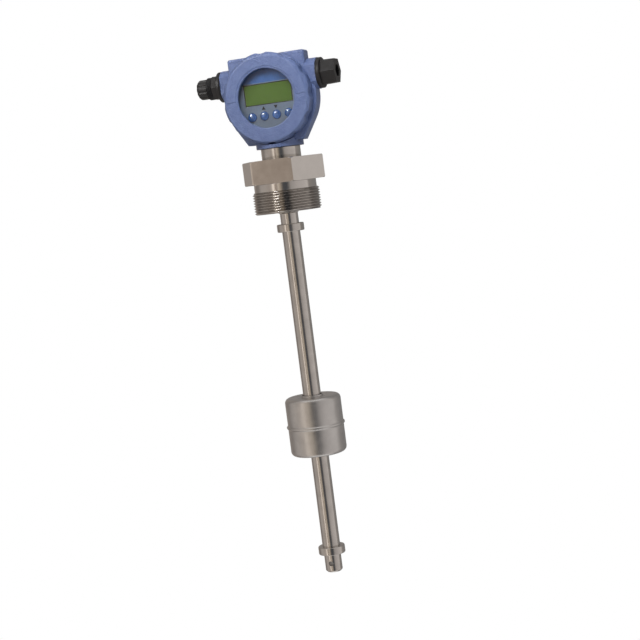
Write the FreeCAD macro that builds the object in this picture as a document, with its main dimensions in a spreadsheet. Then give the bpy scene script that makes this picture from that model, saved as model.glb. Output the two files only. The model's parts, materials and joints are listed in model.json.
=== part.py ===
import FreeCAD, Part
import math
import os
import re
import Sketcher

# A magnetic float level transmitter: a painted display head on a threaded steel fitting,
# with a float that slides along a closed tube below it.
# Frame: Z up along the stem, the front of the display faces -Y, millimetres.
# The origin is on the stem's axis at the top of the process thread.

doc = FreeCAD.newDocument("LevelTransmitter")
sheet = doc.addObject("Spreadsheet::Sheet", "Sizes")

driving_sizes = {
    # process fitting
    "thread_rad": 29.8,
    "thread_long": 19.4,
    "thread_chamfer": 1.5,
    "relief_rad": 27.5,
    "relief_long": 6.8,
    "hex_across": 65.0,
    "hex_high": 20.5,
    "hex_chamfer_rad": 36.4,
    "hex_chamfer_high": 1.2,
    "weld_leg": 1.4,
    # stem, stops and tip
    "stem_rad": 8.0,
    "stem_wall": 1.5,
    "stem_reach": 345.2,
    "tube_into_fitting": 12.0,
    "tip_long": 16.4,
    "tip_rad": 7.6,
    "tip_chamfer": 1.4,
    "tip_spigot_long": 12.0,
    "cross_hole_rad": 2.25,
    "collar_rad": 12.0,
    "collar_high": 7.0,
    "collar_round": 0.9,
    "collar_drop": 10.5,
    "grub_rad": 1.5,
    "grub_socket_across": 1.5,
    "grub_socket_deep": 1.6,
    "same_body_fit": 0.03,
    # float
    "float_rad": 25.0,
    "float_high": 52.0,
    "float_wall": 0.8,
    "float_round": 4.0,
    "float_bead_rad": 26.1,
    "float_bead_high": 2.6,
    "float_bore_clearance": 0.9,
    "float_lip": 1.2,
    "float_mid_drop": 210.7,
    "magnet_ring_wide": 7.0,
    "magnet_high": 10.0,
    # sensing strip inside the stem
    "strip_thick": 1.2,
    "strip_edge_gap": 0.2,
    "strip_foot_gap": 4.0,
    "strip_top_drop": 3.0,
    "reed_rad": 1.1,
    "reed_long": 13.0,
    "reed_pitch": 24.0,
    "lead_rad": 1.5,
    # neck
    "neck_rad": 17.4,
    "neck_high": 10.1,
    "neck_bore_rad": 5.0,
    "neck_foot_rad": 12.5,
    "neck_foot_long": 9.0,
    "neck_top_rad": 9.0,
    "neck_top_long": 9.0,
    "neck_seal_rad": 1.0,
    # painted housing, seen from the front: sizes are from the window's centre
    "head_top": 37.7,
    "head_half_wide": 35.2,
    "head_corner": 2.0,
    "body_rad": 42.0,
    "skirt_half_wide": 25.5,
    "skirt_drop": 38.6,
    "boss_rad": 21.0,
    "boss_drop": 42.8,
    "front_plane": 11.0,
    "rim_plane_back": 5.0,
    "bowl_rad": 37.5,
    "bowl_back": 20.0,
    "bowl_round": 9.0,
    "housing_wall": 3.5,
    "cover_bore_rad": 33.5,
    "cover_bore_deep": 9.0,
    "cavity_rad": 32.0,
    "paint_round": 1.2,
    "back_round": 4.0,
    "conduit_up": 16.1,
    "conduit_forward": 1.0,
    "conduit_boss_rad": 13.6,
    "conduit_face": 43.9,
    "conduit_boss_front": 12.6,
    "conduit_bore_rad": 9.3,
    "conduit_bore_deep": 9.5,
    "conduit_hole_rad": 6.5,
    "pillar_rad": 3.2,
    "pillar_across": 18.2,
    "pillar_drop": 21.5,
    "neck_bore_deep": 15.5,
    "cavity_bevel": 6.0,
    # screwed front cover
    "cover_gap": 0.6,
    "cover_rad": 39.4,
    "cover_face": 23.0,
    "cover_bevel": 2.0,
    "cover_thread_play": 0.3,
    "cover_thread_long": 7.0,
    "cover_inner_rad": 31.0,
    "window_rad": 25.5,
    "cover_lip_thick": 2.4,
    "cover_notches": 12,
    "notch_rad": 9.0,
    "notch_deep": 1.3,
    "band_inner_rad": 27.2,
    "band_outer_rad": 36.8,
    "band_proud": 0.5,
    "cover_seal_rad": 36.4,
    "cover_seal_wire": 1.0,
    "glass_edge_gap": 0.3,
    "glass_thick": 3.0,
    "glass_gasket_thick": 0.8,
    "glass_gasket_wide": 2.6,
    "retainer_thick": 1.8,
    "retainer_inner_rad": 27.0,
    # display module
    "face_forward": 14.4,
    "faceplate_thick": 1.0,
    "faceplate_rad": 29.8,
    "faceplate_skirt": 1.2,
    "screen_wide": 43.9,
    "screen_high": 18.5,
    "screen_up": 4.2,
    "screen_recess": 0.6,
    "screen_glass_border": 1.6,
    "screen_thick": 2.2,
    "button_rad": 3.95,
    "button_play": 0.09,
    "button_pitch": 11.2,
    "button_drop": 14.7,
    "button_dome": 1.8,
    "button_flange_rad": 4.7,
    "button_flange_thick": 0.8,
    "button_travel": 0.6,
    "button_rest_gap": 0.2,
    "switch_side": 6.0,
    "switch_thick": 1.1,
    "switch_nub_rad": 1.6,
    "board_thick": 1.6,
    "display_board_front": 10.1,
    "display_board_rad": 29.0,
    "main_board_front": -2.4,
    "main_board_rad": 31.0,
    "spacer_rad": 2.6,
    "display_screw_rad": 1.5,
    "display_screw_head_rad": 2.4,
    "display_screw_head_thick": 1.4,
    "display_screw_long": 6.0,
    "terminal_block_wide": 26.0,
    "terminal_block_high": 9.0,
    "terminal_block_thick": 9.0,
    "terminal_block_down": 12.0,
    "terminal_pitch": 8.0,
    "terminal_screw_rad": 1.9,
    "terminal_screw_long": 4.0,
    "terminal_slot_wide": 0.6,
    "terminal_slot_deep": 0.9,
    "terminal_wire_rad": 0.95,
    "terminal_wire_up": 3.0,
    "lead_plug_wide": 8.0,
    "lead_plug_high": 5.0,
    "lead_plug_thick": 4.2,
    "lead_plug_down": 26.0,
    # earth screw on the back of the housing
    "earth_pad_rad": 5.0,
    "earth_pad_thick": 1.0,
    "earth_screw_rad": 3.6,
    "earth_screw_head": 2.4,
    "earth_slot_wide": 0.8,
    "earth_slot_deep": 1.2,
    "earth_shank_rad": 1.9,
    "earth_shank_long": 2.2,
    "earth_side": 18.0,
    "earth_down": 14.0,
    # cable gland, sizes along its own axis from the face of the boss
    "washer_thick": 1.0,
    "washer_rad": 12.9,
    "spigot_rad": 9.2,
    "spigot_long": 8.5,
    "flange_rad": 13.3,
    "flange_thick": 2.7,
    "gland_hex_across": 19.8,
    "gland_hex_end": 9.2,
    "gland_thread_rad": 8.0,
    "gland_thread_end": 16.4,
    "gland_bore_rad": 6.9,
    "cap_start": 9.5,
    "cap_ring_rad": 9.85,
    "cap_ring_end": 14.2,
    "cap_ring_count": 3,
    "cap_ring_groove": 0.5,
    "cap_dome_rad": 8.7,
    "cap_end": 23.9,
    "cap_inner_rad": 8.3,
    "cap_mouth_rad": 5.6,
    "cap_flutes": 10,
    "cap_flute_rad": 1.6,
    "cap_flute_deep": 0.7,
    "insert_rad": 6.6,
    "insert_hole_rad": 4.0,
    "insert_start": 8.0,
    "insert_end": 20.5,
    # blanking plug on the other side
    "plug_head_across": 21.0,
    "plug_head_long": 12.8,
    "plug_draft": 2.0,
    "plug_socket_across": 10.0,
    "plug_socket_deep": 5.0,
}

# Sizes that follow from the driving ones. Each may use those above it.
derived_sizes = {
    "tube_inner_rad": "stem_rad - stem_wall",
    "hex_top": "relief_long + hex_high",
    "neck_top": "hex_top + neck_high",
    "head_mid": "neck_top + boss_drop",
    "tip_top": "tip_long - stem_reach",
    "tube_foot": "tip_top + collar_high / 2",
    "upper_collar_top": "0 - thread_long - collar_drop",
    "lower_collar_top": "tip_top + collar_high",
    "float_bore_rad": "stem_rad + float_bore_clearance",
    "float_tube_rad": "float_bore_rad + float_wall",
    "cover_back": "front_plane + cover_gap",
    "cover_thread_rad": "cover_bore_rad - cover_thread_play",
    "cover_thread_end": "cover_back - cover_thread_long",
    "glass_front": "cover_face - cover_lip_thick - glass_gasket_thick",
    "glass_back": "glass_front - glass_thick",
    "glass_rad": "cover_inner_rad - glass_edge_gap",
    "faceplate_back": "face_forward - faceplate_thick",
    "button_back": "faceplate_back - button_flange_thick - button_rest_gap",
    "display_board_back": "display_board_front - board_thick",
    "main_board_back": "main_board_front - board_thick",
    "cavity_back": "bowl_back - housing_wall",
    "flange_end": "washer_thick + flange_thick",
}


def fill_sheet():
    for row, (alias, value) in enumerate(driving_sizes.items(), start=1):
        sheet.set(f"A{row}", alias.replace("_", " "))
        sheet.set(f"B{row}", str(value))
        sheet.setAlias(f"B{row}", alias)
    first_free = len(driving_sizes) + 1
    for row, (alias, formula) in enumerate(derived_sizes.items(), start=first_free):
        sheet.set(f"A{row}", alias.replace("_", " "))
        sheet.set(f"B{row}", "=" + formula)
        sheet.setAlias(f"B{row}", alias)
    doc.recompute()


fill_sheet()


def size(alias):
    return float(getattr(sheet, alias))


def bind(formula):
    # a formula written with the sheet's own words, as the document's expressions want it
    known = {**driving_sizes, **derived_sizes}
    return re.sub("[a-z_]+", lambda word: "Sizes." * (word[0] in known) + word[0], formula)


def new_body(label):
    body = doc.addObject("PartDesign::Body", label)
    body.Label = label
    return body


def place(body, at=("0", "0", "0"), axis=(0, 0, 1), angle=0):
    turn = FreeCAD.Rotation(FreeCAD.Vector(*axis), angle)
    body.Placement = FreeCAD.Placement(FreeCAD.Vector(0, 0, 0), turn)
    for letter, formula in zip("xyz", at):
        body.setExpression("Placement.Base." + letter, bind(formula))
    return body


def face_front(body):
    # the piece's own Z points out of the front of the head, its own Y points up
    return place(body, ("0", "0", "head_mid"), (1, 0, 0), 90)


def origin_plane(body, role):
    return next(item for item in body.Origin.OriginFeatures if item.Role == role)


def new_sketch(body, name, role="XY_Plane", lift="0"):
    sketch = body.newObject("Sketcher::SketchObject", name)
    sketch.AttachmentSupport = (origin_plane(body, role), [""])
    sketch.MapMode = "FlatFace"
    sketch.setExpression("AttachmentOffset.Base.z", bind(lift))
    return sketch


def set_by(sketch, kind, geometry, point, formula):
    value = float(sketch.evalExpression(bind(formula)))
    number = sketch.addConstraint(Sketcher.Constraint(kind, -1, 1, geometry, point, value))
    sketch.setExpression(f"Constraints[{number}]", bind(formula))


def add_polygon(sketch, corners):
    # a closed outline; each corner is a pair of formulas, both held by a dimension
    first = sketch.GeometryCount
    values = [[float(sketch.evalExpression(bind(f))) for f in corner] for corner in corners]
    count = len(corners)
    for i in range(count):
        here = FreeCAD.Vector(*values[i], 0)
        ahead = FreeCAD.Vector(*values[(i + 1) % count], 0)
        sketch.addGeometry(Part.LineSegment(here, ahead), False)
    for i in range(count):
        sketch.addConstraint(Sketcher.Constraint("Coincident", first + i, 2, first + (i + 1) % count, 1))
        set_by(sketch, "DistanceX", first + i, 1, corners[i][0])
        set_by(sketch, "DistanceY", first + i, 1, corners[i][1])


def add_circle(sketch, radius, across="0", up="0"):
    spot = [float(sketch.evalExpression(bind(f))) for f in (across, up)]
    value = float(sketch.evalExpression(bind(radius)))
    circle = Part.Circle(FreeCAD.Vector(*spot, 0), FreeCAD.Vector(0, 0, 1), value)
    index = sketch.addGeometry(circle, False)
    set_by(sketch, "DistanceX", index, 3, across)
    set_by(sketch, "DistanceY", index, 3, up)
    number = sketch.addConstraint(Sketcher.Constraint("Radius", index, value))
    sketch.setExpression(f"Constraints[{number}]", bind(radius))


def turned(body, name, corners, cut=False):
    # a profile of (radius, height) corners turned round the piece's own Z axis
    sketch = new_sketch(body, name + "Profile", "XZ_Plane")
    add_polygon(sketch, corners)
    doc.recompute()
    kind = "PartDesign::Groove" if cut else "PartDesign::Revolution"
    feature = body.newObject(kind, name)
    feature.Profile = sketch
    feature.ReferenceAxis = (sketch, ["V_Axis"])
    feature.Angle = 360
    doc.recompute()
    return feature


def pad(body, name, sketch, length, symmetric=False):
    feature = body.newObject("PartDesign::Pad", name)
    feature.Profile = sketch
    feature.SideType = "Symmetric" if symmetric else "One side"
    feature.setExpression("Length", bind(length))
    doc.recompute()
    return feature


def pocket(body, name, sketch, length, away=False, symmetric=False):
    # away: the cut runs along the sketch plane's normal, not against it
    before = body.Shape.Volume
    feature = body.newObject("PartDesign::Pocket", name)
    feature.Profile = sketch
    feature.SideType = "Symmetric" if symmetric else "One side"
    feature.Reversed = away
    feature.setExpression("Length", bind(length))
    doc.recompute()
    if body.Shape.Volume >= before:
        raise ValueError(f"{body.Label}: {name} cuts nothing")
    return feature


def spread(body, name, features, count, role="Z_Axis"):
    feature = body.newObject("PartDesign::PolarPattern", name)
    feature.Originals = features
    feature.Axis = (origin_plane(body, role), [""])
    feature.Angle = 360
    feature.setExpression("Occurrences", bind(count))
    body.Tip = feature
    doc.recompute()
    return feature


def mirrored(body, name, features, role="YZ_Plane"):
    feature = body.newObject("PartDesign::Mirrored", name)
    feature.Originals = features
    feature.MirrorPlane = (origin_plane(body, role), [""])
    body.Tip = feature
    doc.recompute()
    return feature


def dress(body, kind, name, wanted, amount):
    # rounds or bevels the edges of the body's last feature that the test picks out
    base = body.Tip
    edges = [f"Edge{i + 1}" for i, edge in enumerate(base.Shape.Edges) if wanted(edge)]
    if not edges:
        raise ValueError(f"{body.Label}: {name} finds no edge")
    feature = body.newObject(kind, name)
    feature.Base = (base, edges)
    feature.setExpression("Radius" if kind.endswith("Fillet") else "Size", bind(amount))
    doc.recompute()
    return feature


def is_ring(edge, radius, height=None):
    # a full circle round the piece's own Z axis
    if edge.Degenerated or not isinstance(edge.Curve, Part.Circle):
        return False
    if abs(edge.Curve.Radius - radius) > 0.01:
        return False
    centre = edge.Curve.Center
    level = height is None or abs(centre.z - height) < 0.01
    return level and abs(centre.x) < 0.01 and abs(centre.y) < 0.01


def hexagon(sketch, across, up="0", turn=0):
    # a regular hexagon with its flats this far apart and a corner at the turn angle
    reach = f"({across}) / sqrt(3)"
    angles = [turn + 60 * i for i in range(6)]
    add_polygon(sketch, [
        (f"{reach} * cos({angle}deg)", f"{reach} * sin({angle}deg) + ({up})") for angle in angles
    ])


def rectangle(sketch, wide, high, across="0", up="0"):
    corners = ((-1, -1), (1, -1), (1, 1), (-1, 1))
    add_polygon(sketch, [
        (f"({across}) + {a} * ({wide}) / 2", f"({up}) + {b} * ({high}) / 2") for a, b in corners
    ])


def process_fitting():
    # one turned and milled piece: hexagon, relief, threaded shank and the weld round the stem
    body = new_body("process_fitting")
    outline = new_sketch(body, "HexOutline", lift="relief_long")
    hexagon(outline, "hex_across")
    pad(body, "HexPad", outline, "hex_high")
    corner = "hex_across / sqrt(3) + 1"
    for name, face, step in (("Top", "hex_top", "-"), ("Under", "relief_long", "+")):
        slope = [("hex_chamfer_rad", face), (corner, face), (corner, f"{face} {step} hex_chamfer_high")]
        turned(body, "HexBevel" + name, slope, cut=True)
    turned(body, "Shank", [
        ("tube_inner_rad", "relief_long"),
        ("relief_rad", "relief_long"),
        ("relief_rad", "0"),
        ("thread_rad", "0"),
        ("thread_rad", "thread_chamfer - thread_long"),
        ("thread_rad - thread_chamfer", "0 - thread_long"),
        ("stem_rad + weld_leg", "0 - thread_long"),
        ("stem_rad + same_body_fit", "0 - thread_long - weld_leg"),
        ("tube_inner_rad", "0 - thread_long - weld_leg"),
    ])
    turned(body, "StemSocket", [
        ("0", "0 - thread_long - 2 * weld_leg"),
        ("stem_rad + same_body_fit", "0 - thread_long - 2 * weld_leg"),
        ("stem_rad + same_body_fit", "tube_into_fitting - thread_long"),
        ("tube_inner_rad", "tube_into_fitting - thread_long"),
        ("tube_inner_rad", "hex_top - neck_foot_long"),
        ("neck_foot_rad + same_body_fit", "hex_top - neck_foot_long"),
        ("neck_foot_rad + same_body_fit", "hex_top + 1"),
        ("0", "hex_top + 1"),
    ], cut=True)
    return place(body)


def neck_adapter():
    body = new_body("neck_adapter")
    middle = "(neck_rad + neck_top_rad) / 2"
    half = "neck_seal_rad + same_body_fit"
    floor = "neck_top - 2 * neck_seal_rad - same_body_fit"
    turned(body, "Nipple", [
        ("neck_bore_rad", "hex_top - neck_foot_long"),
        ("neck_foot_rad", "hex_top - neck_foot_long"),
        ("neck_foot_rad", "hex_top"),
        ("neck_rad", "hex_top"),
        ("neck_rad", "neck_top"),
        (f"{middle} + {half}", "neck_top"),
        (f"{middle} + {half}", floor),
        (f"{middle} - ({half})", floor),
        (f"{middle} - ({half})", "neck_top"),
        ("neck_top_rad", "neck_top"),
        ("neck_top_rad", "neck_top + neck_top_long"),
        ("neck_bore_rad", "neck_top + neck_top_long"),
    ])
    return place(body)


def wire_ring(label, radius, height, wire):
    # a round-section ring such as an O-ring
    body = new_body(label)
    sketch = new_sketch(body, "Section", "XZ_Plane")
    add_circle(sketch, wire, radius, height)
    doc.recompute()
    ring = body.newObject("PartDesign::Revolution", "Ring")
    ring.Profile = sketch
    ring.ReferenceAxis = (sketch, ["V_Axis"])
    ring.Angle = 360
    doc.recompute()
    return body


def neck_seal():
    middle = "(neck_rad + neck_top_rad) / 2"
    return place(wire_ring("neck_seal", middle, "neck_top - neck_seal_rad", "neck_seal_rad"))


def stem_tube():
    body = new_body("stem_tube")
    turned(body, "Tube", [
        ("tube_inner_rad", "tube_foot"),
        ("stem_rad", "tube_foot"),
        ("stem_rad", "tube_into_fitting - thread_long"),
        ("tube_inner_rad", "tube_into_fitting - thread_long"),
    ])
    return place(body)


def end_plug():
    body = new_body("end_plug")
    turned(body, "Plug", [
        ("0", "0 - stem_reach"),
        ("tip_rad - tip_chamfer", "0 - stem_reach"),
        ("tip_rad", "tip_chamfer - stem_reach"),
        ("tip_rad", "tube_foot"),
        ("tube_inner_rad - same_body_fit", "tube_foot"),
        ("tube_inner_rad - same_body_fit", "tube_foot + tip_spigot_long"),
        ("0", "tube_foot + tip_spigot_long"),
    ])
    hole = new_sketch(body, "CrossHoleOutline", "XZ_Plane")
    add_circle(hole, "cross_hole_rad", up="tip_long / 2 - stem_reach")
    pocket(body, "CrossHole", hole, "4 * tip_rad", symmetric=True)
    return place(body)


def stop_collar(label, top):
    # a ring clamped on the stem by a grub screw from the back
    body = new_body(label)
    turned(body, "Ring", [
        ("stem_rad + same_body_fit", f"{top} - collar_high"),
        ("collar_rad", f"{top} - collar_high"),
        ("collar_rad", top),
        ("stem_rad + same_body_fit", top),
    ])
    dress(body, "PartDesign::Fillet", "Edges", lambda e: is_ring(e, size("collar_rad")), "collar_round")
    hole = new_sketch(body, "GrubHole", "XZ_Plane")
    add_circle(hole, "grub_rad + same_body_fit", up=f"{top} - collar_high / 2")
    pocket(body, "GrubPocket", hole, "collar_rad + 1")
    return place(body)


def collar_screws():
    body = new_body("collar_screws")
    levels = [f"{top} - collar_high / 2" for top in ("upper_collar_top", "lower_collar_top")]
    rods = new_sketch(body, "Rods", "XZ_Plane", "0 - stem_rad - same_body_fit")
    sockets = new_sketch(body, "Sockets", "XZ_Plane", "grub_socket_deep - collar_rad")
    for level in levels:
        add_circle(rods, "grub_rad", up=level)
        hexagon(sockets, "grub_socket_across", up=level)
    threads = pad(body, "Threads", rods, "collar_rad - stem_rad - 2 * same_body_fit - collar_round / 2")
    threads.Reversed = True
    doc.recompute()
    pocket(body, "KeySockets", sockets, "2 * grub_socket_deep")
    return place(body)


def float_shell(label, side):
    # one drawn half of the float; side is 1 for the upper and -1 for the lower half
    body = new_body(label)
    turned(body, "Cup", [
        (radius, f"{side} * ({height})") for radius, height in (
            ("float_tube_rad + same_body_fit", "float_high / 2 - float_wall"),
            ("float_tube_rad + same_body_fit", "float_high / 2"),
            ("float_rad", "float_high / 2"),
            ("float_rad", "float_bead_high / 2"),
            ("float_bead_rad", "float_bead_high / 5"),
            ("float_bead_rad", "0"),
            ("float_rad - float_wall", "0"),
            ("float_rad - float_wall", "float_high / 2 - float_wall"),
        )
    ])
    end = side * size("float_high") / 2
    inner_end = end - side * size("float_wall")
    dress(body, "PartDesign::Fillet", "OuterRound",
          lambda e: is_ring(e, size("float_rad"), end), "float_round")
    dress(body, "PartDesign::Fillet", "InnerRound",
          lambda e: is_ring(e, size("float_rad") - size("float_wall"), inner_end),
          "float_round - float_wall")
    return place(body, ("0", "0", "0 - float_mid_drop"))


def float_bore_tube():
    body = new_body("float_bore_tube")
    end = "(float_high / 2 + float_lip)"
    turned(body, "Sleeve", [
        ("float_bore_rad", f"0 - {end}"),
        ("float_tube_rad", f"0 - {end}"),
        ("float_tube_rad", end),
        ("float_bore_rad", end),
    ])
    return place(body, ("0", "0", "0 - float_mid_drop"))


def float_magnet():
    body = new_body("float_magnet")
    inner = "float_tube_rad + same_body_fit"
    turned(body, "Ring", [
        (inner, "0 - magnet_high / 2"),
        (f"{inner} + magnet_ring_wide", "0 - magnet_high / 2"),
        (f"{inner} + magnet_ring_wide", "magnet_high / 2"),
        (inner, "magnet_high / 2"),
    ])
    return place(body, ("0", "0", "0 - float_mid_drop"))


strip_foot = "(tube_foot + tip_spigot_long + strip_foot_gap)"
strip_top = "(0 - strip_top_drop)"


def sensor_strip():
    body = new_body("sensor_strip")
    sketch = new_sketch(body, "Section", lift=strip_foot)
    half = "(tube_inner_rad - strip_edge_gap)"
    rectangle(sketch, f"2 * {half}", "strip_thick")
    pad(body, "Strip", sketch, f"{strip_top} - {strip_foot}")
    return place(body)


def reed_switches():
    # small glass switches in a row along the front of the strip
    body = new_body("reed_switches")
    room = size("tube_into_fitting") - size("thread_long") - size("tube_foot") - size("tip_spigot_long")
    count = int((room - size("strip_foot_gap")) // size("reed_pitch"))
    lift = f"{strip_foot} + (reed_pitch - reed_long) / 2"
    sketch = new_sketch(body, "Section", lift=lift)
    add_circle(sketch, "reed_rad", up="0 - strip_thick / 2 - reed_rad")
    row = pad(body, "Switch", sketch, "reed_long")
    pattern = body.newObject("PartDesign::LinearPattern", "Row")
    pattern.Originals = [row]
    pattern.Direction = (origin_plane(body, "Z_Axis"), [""])
    pattern.Mode = "Spacing"
    pattern.setExpression("Offset", bind("reed_pitch"))
    pattern.Occurrences = count
    body.Tip = pattern
    doc.recompute()
    return place(body)


def sensor_lead():
    body = new_body("sensor_lead")
    sketch = new_sketch(body, "Section", lift=strip_top)
    add_circle(sketch, "lead_rad")
    pad(body, "Bundle", sketch, f"head_mid - lead_plug_down - lead_plug_high / 2 - {strip_top}")
    return place(body)


def housing_outline(body):
    # flat top with square corners, round flanks, and a skirt that runs in to the lower boss
    sketch = new_sketch(body, "FlangeOutline", lift="0 - rim_plane_back")
    radius = size("body_rad")
    half, top = size("head_half_wide"), size("head_top")
    foot = FreeCAD.Vector(size("skirt_half_wide"), -size("skirt_drop"), 0)
    upper_angle = math.acos(half / radius)
    lower_angle = math.atan2(foot.y, foot.x) + math.acos(radius / foot.Length)

    def on_circle(angle):
        return FreeCAD.Vector(radius * math.cos(angle), radius * math.sin(angle), 0)

    def flip(point):
        return FreeCAD.Vector(-point.x, point.y, 0)

    corner = FreeCAD.Vector(half, top, 0)
    shoulder, hip = on_circle(upper_angle), on_circle(lower_angle)
    centre, normal = FreeCAD.Vector(0, 0, 0), FreeCAD.Vector(0, 0, 1)
    circle = Part.Circle(centre, normal, radius)
    right_arc = Part.ArcOfCircle(circle, lower_angle, upper_angle)
    left_arc = Part.ArcOfCircle(circle, math.pi - upper_angle, math.pi - lower_angle)
    lines = {
        "top": (flip(corner), corner),
        "right side": (corner, shoulder),
        "right skirt": (hip, foot),
        "foot": (foot, flip(foot)),
        "left skirt": (flip(foot), flip(hip)),
        "left side": (flip(shoulder), flip(corner)),
    }
    number = {name: sketch.addGeometry(Part.LineSegment(*ends), False) for name, ends in lines.items()}
    right, left = (sketch.addGeometry(arc, False) for arc in (right_arc, left_arc))
    start, end, middle = 1, 2, 3
    for one, other in (("top", "right side"), ("right skirt", "foot"), ("foot", "left skirt"),
                       ("left side", "top")):
        sketch.addConstraint(Sketcher.Constraint("Coincident", number[one], end, number[other], start))
    sketch.addConstraint(Sketcher.Constraint("Coincident", number["right side"], end, right, end))
    sketch.addConstraint(Sketcher.Constraint("Coincident", number["left side"], start, left, start))
    sketch.addConstraint(Sketcher.Constraint("Tangent", right, start, number["right skirt"], start))
    sketch.addConstraint(Sketcher.Constraint("Tangent", left, end, number["left skirt"], end))
    for arc in (right, left):
        sketch.addConstraint(Sketcher.Constraint("Coincident", arc, middle, -1, 1))
        rule = sketch.addConstraint(Sketcher.Constraint("Radius", arc, radius))
        sketch.setExpression(f"Constraints[{rule}]", bind("body_rad"))
    set_by(sketch, "DistanceX", number["top"], end, "head_half_wide")
    set_by(sketch, "DistanceY", number["top"], end, "head_top")
    set_by(sketch, "DistanceX", number["top"], start, "0 - head_half_wide")
    set_by(sketch, "DistanceY", number["top"], start, "head_top")
    set_by(sketch, "DistanceX", right, end, "head_half_wide")
    set_by(sketch, "DistanceX", left, start, "0 - head_half_wide")
    set_by(sketch, "DistanceX", number["foot"], start, "skirt_half_wide")
    set_by(sketch, "DistanceY", number["foot"], start, "0 - skirt_drop")
    set_by(sketch, "DistanceX", number["foot"], end, "0 - skirt_half_wide")
    set_by(sketch, "DistanceY", number["foot"], end, "0 - skirt_drop")
    doc.recompute()
    return sketch


# the upper pair stands beside the screen, the lower pair between and below the buttons
pillar_spots = [
    ("0 - pillar_across", "pillar_across"),
    ("pillar_across", "pillar_across"),
    ("0 - button_pitch", "0 - pillar_drop"),
    ("button_pitch", "0 - pillar_drop"),
]


def four_circles(sketch, radius):
    for across, up in pillar_spots:
        add_circle(sketch, radius, across, up)


def housing_body():
    # one aluminium casting: front flange, rounded bowl, two conduit bosses and the neck boss
    body = new_body("housing_body")
    pad(body, "Flange", housing_outline(body), "front_plane + rim_plane_back")
    top = size("head_top")

    def is_corner(edge):
        ends = [vertex.Point for vertex in edge.Vertexes]
        upright = len(ends) == 2 and math.hypot(ends[0].x - ends[1].x, ends[0].y - ends[1].y) < 0.01
        return upright and abs(ends[0].y - top) < 0.01

    def lies_at(level):
        return lambda edge: all(abs(v.Z - level) < 0.01 for v in edge.Vertexes)

    dress(body, "PartDesign::Fillet", "BackRound", lies_at(-size("rim_plane_back")), "back_round")
    dress(body, "PartDesign::Fillet", "TopCorners", is_corner, "head_corner")
    dress(body, "PartDesign::Fillet", "FrontRound", lies_at(size("front_plane")), "paint_round")
    turned(body, "Bowl", [
        ("0", "0"),
        ("bowl_rad", "0"),
        ("bowl_rad", "0 - bowl_back"),
        ("0", "0 - bowl_back"),
    ])
    dress(body, "PartDesign::Fillet", "BowlRound",
          lambda e: is_ring(e, size("bowl_rad"), -size("bowl_back")), "bowl_round")
    conduit = new_sketch(body, "ConduitBossOutline", "YZ_Plane")
    add_circle(conduit, "conduit_boss_rad", "conduit_up", "conduit_forward")
    pad(body, "ConduitBosses", conduit, "2 * conduit_face", symmetric=True)
    front = new_sketch(body, "BossFrontOutline", lift="conduit_boss_front")
    rectangle(front, "4 * conduit_face", "4 * conduit_face")
    pocket(body, "BossFront", front, "conduit_boss_rad", away=True)
    boss = new_sketch(body, "NeckBossOutline", "XZ_Plane")
    add_circle(boss, "boss_rad")
    pad(body, "NeckBoss", boss, "boss_drop")
    seat = new_sketch(body, "CoverSeatOutline", lift="front_plane")
    add_circle(seat, "cover_rad + cover_gap")
    pocket(body, "CoverSeat", seat, "cover_face", away=True)
    turned(body, "Cavity", [
        ("0", "front_plane + 1"),
        ("cover_bore_rad", "front_plane + 1"),
        ("cover_bore_rad", "front_plane - cover_bore_deep"),
        ("cavity_rad", "front_plane - cover_bore_deep"),
        ("cavity_rad", "cavity_bevel - cavity_back"),
        ("cavity_rad - cavity_bevel", "0 - cavity_back"),
        ("0", "0 - cavity_back"),
    ], cut=True)
    pillars = new_sketch(body, "PillarOutlines", lift="0 - cavity_back - paint_round")
    four_circles(pillars, "pillar_rad")
    pad(body, "Pillars", pillars, "cavity_back + paint_round + main_board_back")
    studs = new_sketch(body, "StudHoleOutlines", lift="main_board_back")
    four_circles(studs, "display_screw_rad + same_body_fit")
    pocket(body, "StudHoles", studs, "display_screw_long + 1")
    socket = new_sketch(body, "ConduitBoreOutline", "YZ_Plane", "conduit_face")
    add_circle(socket, "conduit_bore_rad", "conduit_up", "conduit_forward")
    bore = pocket(body, "ConduitBore", socket, "conduit_bore_deep")
    passage = new_sketch(body, "ConduitHoleOutline", "YZ_Plane", "conduit_face")
    add_circle(passage, "conduit_hole_rad", "conduit_up", "conduit_forward")
    inner_wall = "sqrt(cavity_rad ^ 2 - (conduit_up + conduit_hole_rad) ^ 2)"
    hole = pocket(body, "ConduitHole", passage, f"conduit_face - {inner_wall}")
    mirrored(body, "LeftConduit", [bore, hole])
    neck = new_sketch(body, "NeckBoreOutline", "XZ_Plane", "boss_drop")
    add_circle(neck, "neck_top_rad + same_body_fit")
    pocket(body, "NeckBore", neck, "neck_bore_deep")
    earth = new_sketch(body, "EarthPadOutline", lift="0 - bowl_back - earth_pad_thick")
    add_circle(earth, "earth_pad_rad", "earth_side", "0 - earth_down")
    pad(body, "EarthPad", earth, "earth_pad_thick + paint_round")
    screw = new_sketch(body, "EarthHoleOutline", lift="0 - bowl_back - earth_pad_thick")
    add_circle(screw, "earth_shank_rad + same_body_fit", "earth_side", "0 - earth_down")
    pocket(body, "EarthHole", screw, "earth_shank_long + same_body_fit", away=True)
    return face_front(body)


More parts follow.
